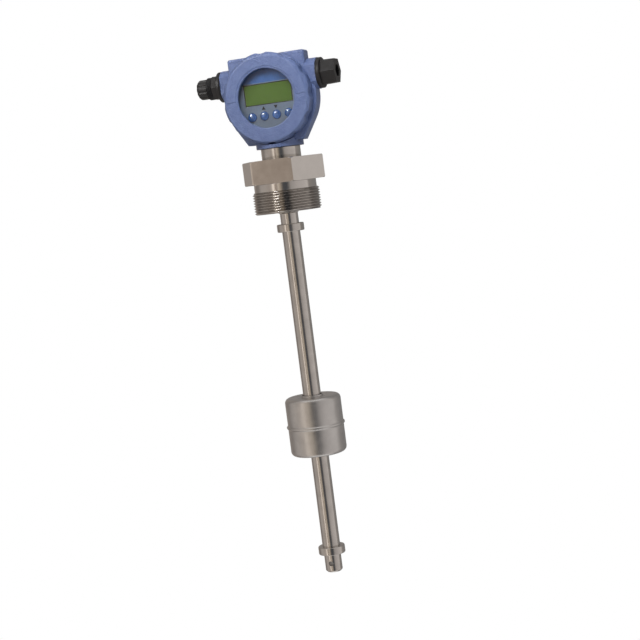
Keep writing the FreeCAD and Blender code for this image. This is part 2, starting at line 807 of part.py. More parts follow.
def earth_screw():
    # a cheese-head screw on the back of the casting
    body = new_body("earth_screw")
    head = new_sketch(body, "HeadOutline", lift="0 - bowl_back - earth_pad_thick - earth_screw_head")
    add_circle(head, "earth_screw_rad", "earth_side", "0 - earth_down")
    pad(body, "Head", head, "earth_screw_head")
    shank = new_sketch(body, "ShankOutline", lift="0 - bowl_back - earth_pad_thick")
    add_circle(shank, "earth_shank_rad", "earth_side", "0 - earth_down")
    pad(body, "Shank", shank, "earth_shank_long")
    slot = new_sketch(body, "SlotOutline", lift="0 - bowl_back - earth_pad_thick - earth_screw_head")
    rectangle(slot, "3 * earth_screw_rad", "earth_slot_wide", "earth_side", "0 - earth_down")
    pocket(body, "Slot", slot, "earth_slot_deep", away=True)
    return face_front(body)


def front_cover():
    # a ring that screws into the housing, with finger notches and a raised band round its upper half
    body = new_body("front_cover")
    groove = "cover_seal_wire + same_body_fit"
    turned(body, "Ring", [
        ("cover_inner_rad", "cover_thread_end"),
        ("cover_thread_rad", "cover_thread_end"),
        ("cover_thread_rad", "cover_back"),
        (f"cover_seal_rad - ({groove})", "cover_back"),
        (f"cover_seal_rad - ({groove})", "front_plane + 2 * (cover_seal_wire + same_body_fit)"),
        (f"cover_seal_rad + ({groove})", "front_plane + 2 * (cover_seal_wire + same_body_fit)"),
        (f"cover_seal_rad + ({groove})", "cover_back"),
        ("cover_rad", "cover_back"),
        ("cover_rad", "cover_face - cover_bevel"),
        ("cover_rad - cover_bevel", "cover_face"),
        ("window_rad", "cover_face"),
        ("window_rad", "cover_face - cover_lip_thick"),
        ("cover_inner_rad", "cover_face - cover_lip_thick"),
    ])
    band = new_sketch(body, "BandOutline", lift="cover_face")
    add_circle(band, "band_outer_rad")
    add_circle(band, "band_inner_rad")
    pad(body, "Band", band, "band_proud")
    lower = new_sketch(body, "LowerHalf", lift="cover_face")
    rectangle(lower, "3 * cover_rad", "2 * cover_rad", up="0 - cover_rad")
    pocket(body, "BandEnds", lower, "2 * band_proud", away=True)
    notch = new_sketch(body, "NotchOutline", lift="cover_back")
    add_circle(notch, "notch_rad", "cover_rad + notch_rad - notch_deep")
    first = pocket(body, "Notch", notch, "cover_face", away=True)
    spread(body, "Notches", [first], "cover_notches")
    return face_front(body)


def flat_ring(label, inner, outer, low, high):
    body = new_body(label)
    turned(body, "Ring", [(inner, low), (outer, low), (outer, high), (inner, high)])
    return body


def cover_seal():
    middle = "front_plane + cover_seal_wire + same_body_fit"
    return face_front(wire_ring("cover_seal", "cover_seal_rad", middle, "cover_seal_wire"))


def window_gasket():
    inner = "glass_rad - glass_gasket_wide"
    return face_front(flat_ring("window_gasket", inner, "glass_rad", "glass_front",
                                "cover_face - cover_lip_thick"))


def front_window():
    body = new_body("front_window")
    disc = new_sketch(body, "Outline", lift="glass_back")
    add_circle(disc, "glass_rad")
    pad(body, "Disc", disc, "glass_thick")
    return face_front(body)


def window_retainer():
    # the threaded ring that holds the glass in the cover, with two slots for its key
    outer = "cover_inner_rad - same_body_fit"
    body = flat_ring("window_retainer", "retainer_inner_rad", outer, "glass_back - retainer_thick",
                     "glass_back")
    slots = new_sketch(body, "KeySlots", lift="glass_back - retainer_thick")
    rectangle(slots, "4 * glass_rad", "retainer_thick")
    pocket(body, "Slots", slots, "retainer_thick / 2", away=True)
    return face_front(body)


button_names = ("menu_button", "up_button", "down_button", "enter_button")
button_spots = [f"{place} * button_pitch" for place in (-1.5, -0.5, 0.5, 1.5)]


def display_faceplate():
    # the silver plate with its rim, resting on the display board
    body = new_body("display_faceplate")
    turned(body, "Plate", [
        ("0", "faceplate_back"),
        ("faceplate_rad - faceplate_skirt", "faceplate_back"),
        ("faceplate_rad - faceplate_skirt", "display_board_front"),
        ("faceplate_rad", "display_board_front"),
        ("faceplate_rad", "face_forward"),
        ("0", "face_forward"),
    ])
    screen = new_sketch(body, "ScreenOutline", lift="face_forward")
    rectangle(screen, "screen_wide", "screen_high", up="screen_up")
    pocket(body, "ScreenOpening", screen, "2 * faceplate_thick")
    holes = new_sketch(body, "ButtonOutlines", lift="face_forward")
    for spot in button_spots:
        add_circle(holes, "button_rad + button_play", spot, "0 - button_drop")
    pocket(body, "ButtonHoles", holes, "2 * faceplate_thick")
    return face_front(body)


def lcd_panel():
    body = new_body("lcd_panel")
    glass = new_sketch(body, "GlassOutline", lift="faceplate_back - same_body_fit - screen_thick")
    rectangle(glass, "screen_wide + 2 * screen_glass_border", "screen_high + 2 * screen_glass_border",
              up="screen_up")
    pad(body, "Glass", glass, "screen_thick")
    view = new_sketch(body, "ViewOutline", lift="faceplate_back - same_body_fit")
    rectangle(view, "screen_wide - 2 * same_body_fit", "screen_high - 2 * same_body_fit", up="screen_up")
    pad(body, "View", view, "faceplate_thick - screen_recess + same_body_fit")
    return face_front(body)


def round_board(label, radius, back):
    body = new_body(label)
    outline = new_sketch(body, "Outline", lift=back)
    add_circle(outline, radius)
    pad(body, "Board", outline, "board_thick")
    holes = new_sketch(body, "HoleOutlines", lift=back)
    four_circles(holes, "display_screw_rad + same_body_fit")
    pocket(body, "Holes", holes, "2 * board_thick", away=True)
    return face_front(body)


def display_board():
    return round_board("display_board", "display_board_rad", "display_board_back")


def main_board():
    return round_board("main_board", "main_board_rad", "main_board_back")


def button(label, spot):
    # a domed cap whose flange stays behind the faceplate
    body = new_body(label)
    turned(body, "Cap", [
        ("0", "button_back"),
        ("button_flange_rad", "button_back"),
        ("button_flange_rad", "button_back + button_flange_thick"),
        ("button_rad", "button_back + button_flange_thick"),
        ("button_rad", "face_forward + button_dome"),
        ("0", "face_forward + button_dome"),
    ])
    tip = size("face_forward") + size("button_dome")
    dress(body, "PartDesign::Fillet", "Dome",
          lambda e: is_ring(e, size("button_rad"), tip), "button_dome - same_body_fit")
    return place(body, (spot, "0", "head_mid - button_drop"), (1, 0, 0), 90)


def button_switches():
    # the four small tactile switches that the caps press
    body = new_body("button_switches")
    cases = new_sketch(body, "CaseOutlines", lift="display_board_front")
    nubs = new_sketch(body, "NubOutlines", lift="display_board_front + switch_thick")
    for spot in button_spots:
        rectangle(cases, "switch_side", "switch_side", spot, "0 - button_drop")
        add_circle(nubs, "switch_nub_rad", spot, "0 - button_drop")
    pad(body, "Cases", cases, "switch_thick")
    pressed = "button_back - button_travel - same_body_fit"
    pad(body, "Nubs", nubs, f"{pressed} - display_board_front - switch_thick")
    return face_front(body)


def display_spacers():
    # threaded pillars between the boards, each with a stud through the main board
    body = new_body("display_spacers")
    columns = new_sketch(body, "ColumnOutlines", lift="main_board_front")
    four_circles(columns, "spacer_rad")
    pad(body, "Columns", columns, "display_board_back - main_board_front")
    studs = new_sketch(body, "StudOutlines", lift="main_board_back - display_screw_long")
    four_circles(studs, "display_screw_rad")
    pad(body, "Studs", studs, "display_screw_long + board_thick")
    holes = new_sketch(body, "ScrewHoleOutlines", lift="display_board_back")
    four_circles(holes, "display_screw_rad + same_body_fit")
    pocket(body, "ScrewHoles", holes, "display_screw_long")
    return face_front(body)


def display_screws():
    body = new_body("display_screws")
    shanks = new_sketch(body, "ShankOutlines", lift="display_board_front - display_screw_long")
    four_circles(shanks, "display_screw_rad")
    pad(body, "Shanks", shanks, "display_screw_long")
    heads = new_sketch(body, "HeadOutlines", lift="display_board_front")
    four_circles(heads, "display_screw_head_rad")
    pad(body, "Heads", heads, "display_screw_head_thick")
    return face_front(body)


terminal_spots = [f"{place} * terminal_pitch" for place in (-1, 0, 1)]


def terminal_block():
    # the wiring block on the main board, with a wire hole and a screw hole for each pole
    body = new_body("terminal_block")
    block = new_sketch(body, "Outline", lift="main_board_front")
    rectangle(block, "terminal_block_wide", "terminal_block_high", up="0 - terminal_block_down")
    pad(body, "Block", block, "terminal_block_thick")
    lift = "main_board_front + terminal_block_thick"
    screws = new_sketch(body, "ScrewHoleOutlines", lift=lift)
    wires = new_sketch(body, "WireHoleOutlines", "XZ_Plane", "terminal_block_down + terminal_block_high / 2")
    for spot in terminal_spots:
        add_circle(screws, "terminal_screw_rad + same_body_fit", spot, "0 - terminal_block_down")
        add_circle(wires, "terminal_wire_rad", spot, "main_board_front + terminal_wire_up")
    pocket(body, "ScrewHoles", screws, "terminal_screw_long + same_body_fit")
    pocket(body, "WireHoles", wires, "terminal_block_high / 2")
    return face_front(body)


def terminal_screws():
    body = new_body("terminal_screws")
    base = "main_board_front + terminal_block_thick - terminal_screw_long"
    sketch = new_sketch(body, "Outlines", lift=base)
    slots = new_sketch(body, "SlotOutlines", lift=f"{base} + terminal_screw_long")
    for spot in terminal_spots:
        add_circle(sketch, "terminal_screw_rad", spot, "0 - terminal_block_down")
        rectangle(slots, "3 * terminal_screw_rad", "terminal_slot_wide", spot, "0 - terminal_block_down")
    pad(body, "Screws", sketch, "terminal_screw_long")
    pocket(body, "Slots", slots, "terminal_slot_deep")
    return face_front(body)


def sensor_connector():
    body = new_body("sensor_connector")
    outline = new_sketch(body, "Outline", lift="main_board_front")
    rectangle(outline, "lead_plug_wide", "lead_plug_high", up="0 - lead_plug_down")
    pad(body, "Block", outline, "lead_plug_thick")
    return face_front(body)


def on_boss(body, side):
    # side is -1 for the left boss and 1 for the right one; the piece's own Z points outwards
    spot = (f"{side} * conduit_face", "0 - conduit_forward", "head_mid + conduit_up")
    return place(body, spot, (0, 1, 0), 90 * side)


def entry_washer(label, side):
    return on_boss(flat_ring(label, "conduit_bore_rad", "washer_rad", "0", "washer_thick"), side)


def gland_body():
    body = new_body("gland_body")
    turned(body, "Shank", [
        ("gland_bore_rad", "0 - spigot_long"),
        ("spigot_rad", "0 - spigot_long"),
        ("spigot_rad", "washer_thick"),
        ("flange_rad", "washer_thick"),
        ("flange_rad", "flange_end"),
        ("gland_thread_rad", "flange_end"),
        ("gland_thread_rad", "gland_thread_end"),
        ("gland_bore_rad", "gland_thread_end"),
    ])
    nut = new_sketch(body, "HexOutline", lift="flange_end")
    hexagon(nut, "gland_hex_across", turn=30)
    add_circle(nut, "(gland_thread_rad + gland_bore_rad) / 2")
    pad(body, "Hex", nut, "gland_hex_end - flange_end")
    return on_boss(body, -1)


def gland_cap():
    # the fluted dome nut with a ringed collar, which squeezes the rubber insert round the cable
    body = new_body("gland_cap")
    turned(body, "Dome", [
        ("cap_inner_rad", "cap_start"),
        ("cap_ring_rad", "cap_start"),
        ("cap_ring_rad", "cap_ring_end"),
        ("cap_dome_rad", "cap_ring_end"),
        ("cap_dome_rad", "cap_end - cap_flute_rad"),
        ("cap_dome_rad - cap_flute_rad", "cap_end"),
        ("cap_mouth_rad", "cap_end"),
        ("cap_mouth_rad", "insert_end + cap_flute_deep"),
        ("insert_rad + cap_flute_deep / 2", "insert_end + cap_flute_deep"),
        ("cap_inner_rad", "gland_thread_end + cap_flute_deep"),
    ])
    pitch = "((cap_ring_end - cap_start) / (cap_ring_count + 1))"
    for turn in range(int(size("cap_ring_count"))):
        low = f"cap_start + {turn + 1} * {pitch}"
        turned(body, f"RingGroove{turn + 1}", [
            ("cap_ring_rad - cap_ring_groove", low),
            ("cap_ring_rad + 1", f"{low} - cap_ring_groove"),
            ("cap_ring_rad + 1", f"{low} + cap_ring_groove"),
        ], cut=True)
    flute = new_sketch(body, "FluteOutline", lift="cap_ring_end")
    add_circle(flute, "cap_flute_rad", "cap_dome_rad + cap_flute_rad - cap_flute_deep")
    first = pocket(body, "Flute", flute, "cap_end", away=True)
    spread(body, "Flutes", [first], "cap_flutes")
    return on_boss(body, -1)


def gland_insert():
    body = flat_ring("gland_insert", "insert_hole_rad", "insert_rad", "insert_start", "insert_end")
    return on_boss(body, -1)


def stopping_plug():
    body = new_body("stopping_plug")
    turned(body, "Shank", [
        ("0", "0 - spigot_long"),
        ("spigot_rad", "0 - spigot_long"),
        ("spigot_rad", "washer_thick"),
        ("flange_rad", "washer_thick"),
        ("flange_rad", "flange_end"),
        ("0", "flange_end"),
    ])
    head = new_sketch(body, "HeadOutline", lift="flange_end")
    hexagon(head, "plug_head_across", turn=30)
    block = pad(body, "Head", head, "plug_head_long")
    block.setExpression("TaperAngle", bind("0 - plug_draft"))
    doc.recompute()
    key = new_sketch(body, "KeyOutline", lift="flange_end + plug_head_long")
    hexagon(key, "plug_socket_across", turn=30)
    pocket(body, "KeySocket", key, "plug_socket_deep")
    return on_boss(body, 1)


pieces = [
    process_fitting(),
    neck_adapter(),
    neck_seal(),
    stem_tube(),
    end_plug(),
    stop_collar("upper_stop_collar", "upper_collar_top"),
    stop_collar("lower_stop_collar", "lower_collar_top"),
    collar_screws(),
    float_shell("float_upper_shell", 1),
    float_shell("float_lower_shell", -1),
    float_bore_tube(),
    float_magnet(),
    sensor_strip(),
    reed_switches(),
    sensor_lead(),
    housing_body(),
    earth_screw(),
    front_cover(),
    cover_seal(),
    window_gasket(),
    front_window(),
    window_retainer(),
    display_faceplate(),
    lcd_panel(),
    display_board(),
    *[button(name, spot) for name, spot in zip(button_names, button_spots)],
    button_switches(),
    display_spacers(),
    display_screws(),
    main_board(),
    terminal_block(),
    terminal_screws(),
    sensor_connector(),
    entry_washer("gland_washer", -1),
    gland_body(),
    gland_cap(),
    gland_insert(),
    entry_washer("plug_washer", 1),
    stopping_plug(),
]
doc.recompute()

for item in doc.Objects:
    if {"Invalid", "Error"} & set(item.State):
        raise RuntimeError(f"{item.Label} did not build")
for piece in pieces:
    if piece.Shape.isNull() or not piece.Shape.isValid() or not piece.Shape.Solids:
        raise RuntimeError(f"{piece.Label} has no valid solid")

os.makedirs("parts", exist_ok=True)
for piece in pieces:
    piece.Shape.exportStep(f"parts/{piece.Label}.step")
print(len(pieces), "sub-parts written")
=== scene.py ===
import json
import math
import bmesh
import bpy
import numpy as np
from mathutils import Matrix, Vector

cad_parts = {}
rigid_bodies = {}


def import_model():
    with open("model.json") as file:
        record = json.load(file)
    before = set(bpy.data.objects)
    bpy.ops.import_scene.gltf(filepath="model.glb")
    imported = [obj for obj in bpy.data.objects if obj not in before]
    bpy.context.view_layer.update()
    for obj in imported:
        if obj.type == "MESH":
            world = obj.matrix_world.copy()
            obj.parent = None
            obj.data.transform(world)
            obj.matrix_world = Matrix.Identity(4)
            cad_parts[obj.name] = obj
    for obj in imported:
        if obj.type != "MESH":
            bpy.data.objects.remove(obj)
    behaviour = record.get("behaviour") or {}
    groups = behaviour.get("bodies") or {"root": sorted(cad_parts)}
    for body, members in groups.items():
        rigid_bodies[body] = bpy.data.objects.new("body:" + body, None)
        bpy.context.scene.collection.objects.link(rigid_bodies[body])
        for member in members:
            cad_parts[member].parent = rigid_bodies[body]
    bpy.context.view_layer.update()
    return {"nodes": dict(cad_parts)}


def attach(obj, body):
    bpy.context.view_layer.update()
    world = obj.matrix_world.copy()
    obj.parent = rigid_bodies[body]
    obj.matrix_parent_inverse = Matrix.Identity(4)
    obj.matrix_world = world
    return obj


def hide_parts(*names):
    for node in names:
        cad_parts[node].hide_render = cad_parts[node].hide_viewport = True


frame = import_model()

mm = 0.001
print("frame loaded:", len(frame["nodes"]), "nodes")

# sizes are in mm, and in metres only where a note says so; height 0 is the top of the pipe thread
head = {"mid": 80.2, "entryFace": 43.9, "entryForward": 1.0, "entryUp": 16.1}

# a radius larger than any piece, given where a limit cuts nothing
noLimit = 99.0

# how near a named height or radius a point counts as lying on it
slack = 0.01

# merging distances in metres for turned grids and for CAD copies, the angle in degrees under which
# a CAD copy counts as flat, and from which angle and in how many steps an edge is softened
cleaning = {"grid": 1e-7, "copy": 2e-6, "flat": 0.5, "bevelFrom": 35, "bevelSegments": 2}


# surfaces

def roundedPath(corners, steps=5):
    # corners are (radius, height, rounding); each rounded corner becomes an arc that meets its two
    # sides: centre on the bisector, swept evenly from one side to the other; it takes no more of
    # either side than the side share
    sideShare = 0.48
    points = np.array([corner[:2] for corner in corners], float)
    parts = []
    for index, corner in enumerate(corners):
        here = points[index]
        rounding = corner[2] if len(corner) > 2 else 0
        if not rounding:
            parts.append(here[None])
            continue
        back, ahead = points[index - 1] - here, points[(index + 1) % len(points)] - here
        backLong, aheadLong = np.linalg.norm(back), np.linalg.norm(ahead)
        back, ahead = back / backLong, ahead / aheadLong
        half = math.acos(np.clip(back @ ahead, -1, 1)) / 2
        reach = min(rounding / math.tan(half), sideShare * backLong, sideShare * aheadLong)
        bisector = (back + ahead) / np.linalg.norm(back + ahead)
        centre = here + bisector * reach / math.cos(half)
        first, last = here + back * reach - centre, here + ahead * reach - centre
        sweep = math.pi - 2 * half
        share = np.linspace(0, 1, steps + 1)[:, None]
        arc = (np.sin((1 - share) * sweep) * first + np.sin(share * sweep) * last) / math.sin(sweep)
        parts.append(centre + arc)
    return np.vstack(parts)


def finer(path, step):
    # splits every side of a closed path so that no piece is longer than the step
    ends = np.roll(path, -1, axis=0)
    counts = np.maximum(1, np.ceil(np.linalg.norm(ends - path, axis=1) / step)).astype(int)
    return np.vstack([a + (b - a) * np.arange(n)[:, None] / n for a, b, n in zip(path, ends, counts)])


def hexagonLimit(angles, across, rounding, turn=0.0):
    # distance from the middle to a hexagon's edge in each direction: half the width across flats
    # divided by a power norm of the cosines to its sides, where less rounding is a higher power
    sides, sharpness = 6, 26
    normals = turn + (np.arange(sides) + 0.5) * 2 * math.pi / sides
    facing = np.maximum(np.cos(angles[:, None] - normals), 0)
    power = sharpness / rounding
    return across / 2 * np.sum(facing ** power, axis=1) ** (-1 / power)


def onStem(x, y, z):
    return x, y, z


def onFront(x, y, z):
    # the front of the head: x stays, y is up, z is out of the front
    return x, -z, y + head["mid"]


def onLeft(x, y, z):
    # the left entry: z is out of it, x is up
    return -head["entryFace"] - z, y - head["entryForward"], x + head["mid"] + head["entryUp"]


def onRight(x, y, z):
    # the right entry: z is out of it, x is down
    return head["entryFace"] + z, y - head["entryForward"], -x + head["mid"] + head["entryUp"]


def meshFromGrid(name, points):
    # points is (rows, columns, 3) in mm and closes on itself both ways
    rows, columns = points.shape[:2]
    here = np.arange(rows * columns).reshape(rows, columns)
    down, right = np.roll(here, -1, axis=0), np.roll(here, -1, axis=1)
    faces = np.stack([here, right, np.roll(down, -1, axis=1), down], axis=-1).reshape(-1, 4)
    mesh = bpy.data.meshes.new(name)
    mesh.vertices.add(rows * columns)
    mesh.vertices.foreach_set("co", (points.reshape(-1) * mm).astype(np.float32))
    mesh.loops.add(faces.size)
    mesh.loops.foreach_set("vertex_index", faces.reshape(-1).astype(np.int32))
    mesh.polygons.add(len(faces))
    mesh.polygons.foreach_set("loop_start", (np.arange(len(faces)) * faces.shape[1]).astype(np.int32))
    mesh.update(calc_edges=True)
    return mesh


def cleanMesh(mesh):
    # poles and seams are closed and the faces turned outwards
    work = bmesh.new()
    work.from_mesh(mesh)
    bmesh.ops.remove_doubles(work, verts=work.verts, dist=cleaning["grid"])
    bmesh.ops.dissolve_degenerate(work, edges=work.edges, dist=cleaning["grid"])
    bmesh.ops.recalc_face_normals(work, faces=work.faces)
    work.to_mesh(mesh)
    work.free()


def asPiece(name, mesh, body, stands, slotName, material, sharp=35):
    # edges that turn by more than the sharp angle in degrees stay hard
    piece = bpy.data.objects.new(name, mesh)
    bpy.context.scene.collection.objects.link(piece)
    mesh.materials.clear()
    mesh.materials.append(material)
    mesh.polygons.foreach_set("use_smooth", np.ones(len(mesh.polygons), bool))
    mesh.set_sharp_from_angle(angle=math.radians(sharp))
    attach(piece, body)
    if stands:
        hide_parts(*stands)
    return piece


def turned(name, corners, place, columns=96, step=None, limit=None, shape=None, sharp=35, **use):
    # a closed profile turned round its axis; limit gives the most that the radius may be in each
    # direction, and shape moves the finished (radius, height) grid
    path = roundedPath(corners)
    if step:
        path = finer(path, step)
    angles = np.arange(columns) * 2 * math.pi / columns
    radius = np.repeat(path[:, :1], columns, axis=1)
    height = np.repeat(path[:, 1:], columns, axis=1)
    if limit is not None:
        radius = np.minimum(radius, limit(angles, height))
    if shape is not None:
        radius, height = shape(angles, radius, height)
    grid = np.stack(place(radius * np.cos(angles), radius * np.sin(angles), height), axis=-1)
    mesh = meshFromGrid(name, grid)
    cleanMesh(mesh)
    return asPiece(name, mesh, sharp=sharp, **use)


def dressed(node, body, slotName, material, sharp=30, bevel=0.0):
    # a merged copy of a CAD node with smooth shading, and softened edges where a bevel is given
    mesh = frame["nodes"][node].data.copy()
    work = bmesh.new()
    work.from_mesh(mesh)
    bmesh.ops.remove_doubles(work, verts=work.verts, dist=cleaning["copy"])
    flat = math.radians(cleaning["flat"])
    bmesh.ops.dissolve_limit(work, angle_limit=flat, verts=work.verts, edges=work.edges)
    work.to_mesh(mesh)
    work.free()
    stale = mesh.attributes.get("custom_normal")
    if stale:
        mesh.attributes.remove(stale)
    piece = asPiece(node + "_piece", mesh, body, [node], slotName, material, sharp)
    if bevel:
        edge = piece.modifiers.new("softEdge", "BEVEL")
        edge.width = bevel * mm
        edge.segments = cleaning["bevelSegments"]
        edge.limit_method = "ANGLE"
        edge.angle_limit = math.radians(cleaning["bevelFrom"])
    return piece


# material helpers; coordinates and distances in a material are in metres

def newMaterial(name, colour, roughness, metallic=0.0, coat=0.0, coatRoughness=0.12):
    material = bpy.data.materials.new(name)
    material.use_nodes = True
    tree = material.node_tree
    shader = tree.nodes["Principled BSDF"]
    shader.inputs["Base Color"].default_value = (*colour, 1)
    shader.inputs["Roughness"].default_value = roughness
    shader.inputs["Metallic"].default_value = metallic
    shader.inputs["Coat Weight"].default_value = coat
    shader.inputs["Coat Roughness"].default_value = coatRoughness
    return material, tree, shader


def coordinates(tree, scale=(1, 1, 1)):
    source = tree.nodes.new("ShaderNodeTexCoord")
    mapping = tree.nodes.new("ShaderNodeMapping")
    mapping.inputs["Scale"].default_value = scale
    tree.links.new(source.outputs["Object"], mapping.inputs["Vector"])
    return mapping.outputs["Vector"]


def axesOf(tree, vector):
    separate = tree.nodes.new("ShaderNodeSeparateXYZ")
    tree.links.new(vector, separate.inputs["Vector"])
    return separate.outputs


def feed(tree, value, socket):
    # a value is another node's output, or else a number or colour
    if isinstance(value, bpy.types.NodeSocket):
        tree.links.new(value, socket)
    else:
        socket.default_value = value


def mathNode(tree, operation, *values):
    node = tree.nodes.new("ShaderNodeMath")
    node.operation = operation
    for socket, value in zip(node.inputs, values):
        feed(tree, value, socket)
    return node.outputs["Value"]


def mixColours(tree, factor, first, second):
    # the first colour where the factor is 0, the second where it is 1
    node = tree.nodes.new("ShaderNodeMix")
    node.data_type = "RGBA"
    tree.links.new(factor, node.inputs["Factor"])
    feed(tree, first, node.inputs["A"])
    feed(tree, second, node.inputs["B"])
    return node.outputs["Result"]


def noiseField(tree, vector, scale, detail=3.0, rough=0.5):
    noise = tree.nodes.new("ShaderNodeTexNoise")
    noise.inputs["Scale"].default_value = scale
    noise.inputs["Detail"].default_value = detail
    noise.inputs["Roughness"].default_value = rough
    tree.links.new(vector, noise.inputs["Vector"])
    return noise.outputs["Fac"]


def ramp(tree, value, stops):
    # stops are (position, colour) in rising order, and a new ramp already has two
    node = tree.nodes.new("ShaderNodeValToRGB")
    for index, (position, colour) in enumerate(stops):
        if index < 2:
            element = node.color_ramp.elements[index]
            element.position = position
        else:
            element = node.color_ramp.elements.new(position)
        element.color = (*colour, 1)
    tree.links.new(value, node.inputs["Fac"])
    return node.outputs["Color"]


def spread(tree, value, low=0.0, high=1.0, start=0.0, end=1.0):
    # sends start..end to low..high, and holds the value there beyond its ends
    node = tree.nodes.new("ShaderNodeMapRange")
    node.inputs["From Min"].default_value = start
    node.inputs["From Max"].default_value = end
    node.inputs["To Min"].default_value = low
    node.inputs["To Max"].default_value = high
    tree.links.new(value, node.inputs["Value"])
    return node.outputs["Result"]


def bumpFrom(tree, shader, height, distance, strength=1.0, below=None):
    # the last bump made is the one that the shader reads; below is the bump that it lies on
    bump = tree.nodes.new("ShaderNodeBump")
    bump.inputs["Distance"].default_value = distance
    bump.inputs["Strength"].default_value = strength
    tree.links.new(height, bump.inputs["Height"])
    if below is not None:
        tree.links.new(below, bump.inputs["Normal"])
    tree.links.new(bump.outputs["Normal"], shader.inputs["Normal"])
    return bump.outputs["Normal"]


def axisEdge(tree, output, middle, reach):
    # 1 where the coordinate is further from the middle than the reach
    away = mathNode(tree, "SUBTRACT", output, middle)
    return mathNode(tree, "GREATER_THAN", mathNode(tree, "ABSOLUTE", away), reach)


def unevenTone(tree, shader, cloud, dark, light, glossiest, dullest):
    # one slow noise moves the colour from dark to light and the roughness between its two ends
    tones = [(0.35, dark), (0.65, light)]
    tree.links.new(spread(tree, cloud, glossiest, dullest), shader.inputs["Roughness"])
    tree.links.new(ramp(tree, cloud, tones), shader.inputs["Base Color"])


# finishes

def paintFinish():
    # semi-gloss textured paint: orange peel, a coarser grain, slight unevenness of colour
    material, tree, shader = newMaterial("bluePaint", (0.110, 0.155, 0.320), 0.42, coat=0.35)
    vector = coordinates(tree)
    tint = noiseField(tree, vector, scale=160, detail=5, rough=0.6)
    peel = noiseField(tree, vector, scale=950, detail=2, rough=0.4)
    coarse = noiseField(tree, vector, scale=460, detail=2)
    shades = [(0.3, (0.094, 0.136, 0.292)), (0.7, (0.126, 0.175, 0.348))]
    tree.links.new(ramp(tree, tint, shades), shader.inputs["Base Color"])
    tree.links.new(spread(tree, tint, low=0.30, high=0.5), shader.inputs["Roughness"])
    peeled = bumpFrom(tree, shader, peel, distance=0.0004, strength=0.9)
    bumpFrom(tree, shader, coarse, distance=0.0005, below=peeled)
    return material


def steelFinish(name, colour, roughness, cloudy=1.0):
    # turned stainless steel: fine lines round the axis, and faint smears as strong as cloudy says
    material, tree, shader = newMaterial(name, colour, roughness, metallic=1.0)
    lines = noiseField(tree, coordinates(tree, (40, 40, 9000)), scale=1.0, detail=2)
    cloud = noiseField(tree, coordinates(tree), scale=120, detail=4)
    bumpFrom(tree, shader, lines, distance=0.000004)
    light = tuple(min(1, c * (1 + 0.05 * cloudy)) for c in colour)
    dark = tuple(c * (1 - 0.07 * cloudy) for c in colour)
    unevenTone(tree, shader, cloud, dark, light, roughness * 0.75, roughness * 1.35)
    return material


# the painted shade in the thread's grooves: sizes in metres, how much of its colour the root keeps, and
# the share of the depth, from the crest, that keeps all of it
grooves = {"crest": 0.0298, "depth": 0.00148, "top": 0.0, "end": -0.0193, "root": 0.7, "bright": 0.15}


def paintShadeInGrooves(material):
    # painted shade: steel between the two heights grows darker from the thread's crest down to its root,
    # where the grooves lie in shade
    g = grooves
    tree = material.node_tree
    colour = tree.nodes["Principled BSDF"].inputs["Base Color"]
    out = tree.nodes.new("ShaderNodeVectorMath")
    out.operation = "LENGTH"
    tree.links.new(coordinates(tree, (1, 1, 0)), out.inputs[0])
    shade = spread(tree, out.outputs["Value"], low=g["root"], start=g["crest"] - g["depth"],
                   end=g["crest"] - g["depth"] * g["bright"])
    along = axesOf(tree, coordinates(tree))["Z"]
    outside = axisEdge(tree, along, (g["top"] + g["end"]) / 2, (g["top"] - g["end"]) / 2)
    most = mathNode(tree, "MAXIMUM", shade, outside)
    darkened = mixColours(tree, most, (0.0, 0.0, 0.0, 1), colour.links[0].from_socket)
    tree.links.new(darkened, colour)


def plasticFinish(name, colour, roughness, grain=0.00003, **coating):
    # moulded plastic or rubber: a fine grain and slight unevenness of gloss and colour
    material, tree, shader = newMaterial(name, colour, roughness, **coating)
    vector = coordinates(tree)
    speck = noiseField(tree, vector, scale=2600, detail=2)
    cloud = noiseField(tree, vector, scale=150)
    bumpFrom(tree, shader, speck, distance=grain, strength=0.6)
    light = tuple(min(1, c * 1.12 + 0.002) for c in colour)
    dark = tuple(c * 0.9 for c in colour)
    unevenTone(tree, shader, cloud, dark, light, roughness * 0.8, roughness * 1.25)
    return material


def faceplateFinish(stripLow):
    # silver printed foil, plain blue above the given height in metres
    material, tree, shader = newMaterial("silverFoil", (0.44, 0.45, 0.46), 0.38, metallic=0.2)
    vector = coordinates(tree)
    above = mathNode(tree, "GREATER_THAN", axesOf(tree, vector)["Z"], stripLow)
    grain = noiseField(tree, vector, scale=1400, detail=2)
    silver = ramp(tree, grain, [(0.3, (0.122, 0.162, 0.232)), (0.7, (0.152, 0.194, 0.272))])
    blue = ramp(tree, grain, [(0.3, (0.030, 0.095, 0.28)), (0.7, (0.052, 0.145, 0.42))])
    tree.links.new(mixColours(tree, above, silver, blue), shader.inputs["Base Color"])
    bumpFrom(tree, shader, grain, distance=0.00001, strength=0.5)
    return material


def glassFinish():
    # clear glass with faint smears
    material, tree, shader = newMaterial("windowGlass", (0.97, 0.99, 0.98), 0.02)
    shader.inputs["Transmission Weight"].default_value = 1.0
    shader.inputs["IOR"].default_value = 1.45
    smear = noiseField(tree, coordinates(tree), scale=60)
    tree.links.new(spread(tree, smear, high=0.03), shader.inputs["Roughness"])
    return material


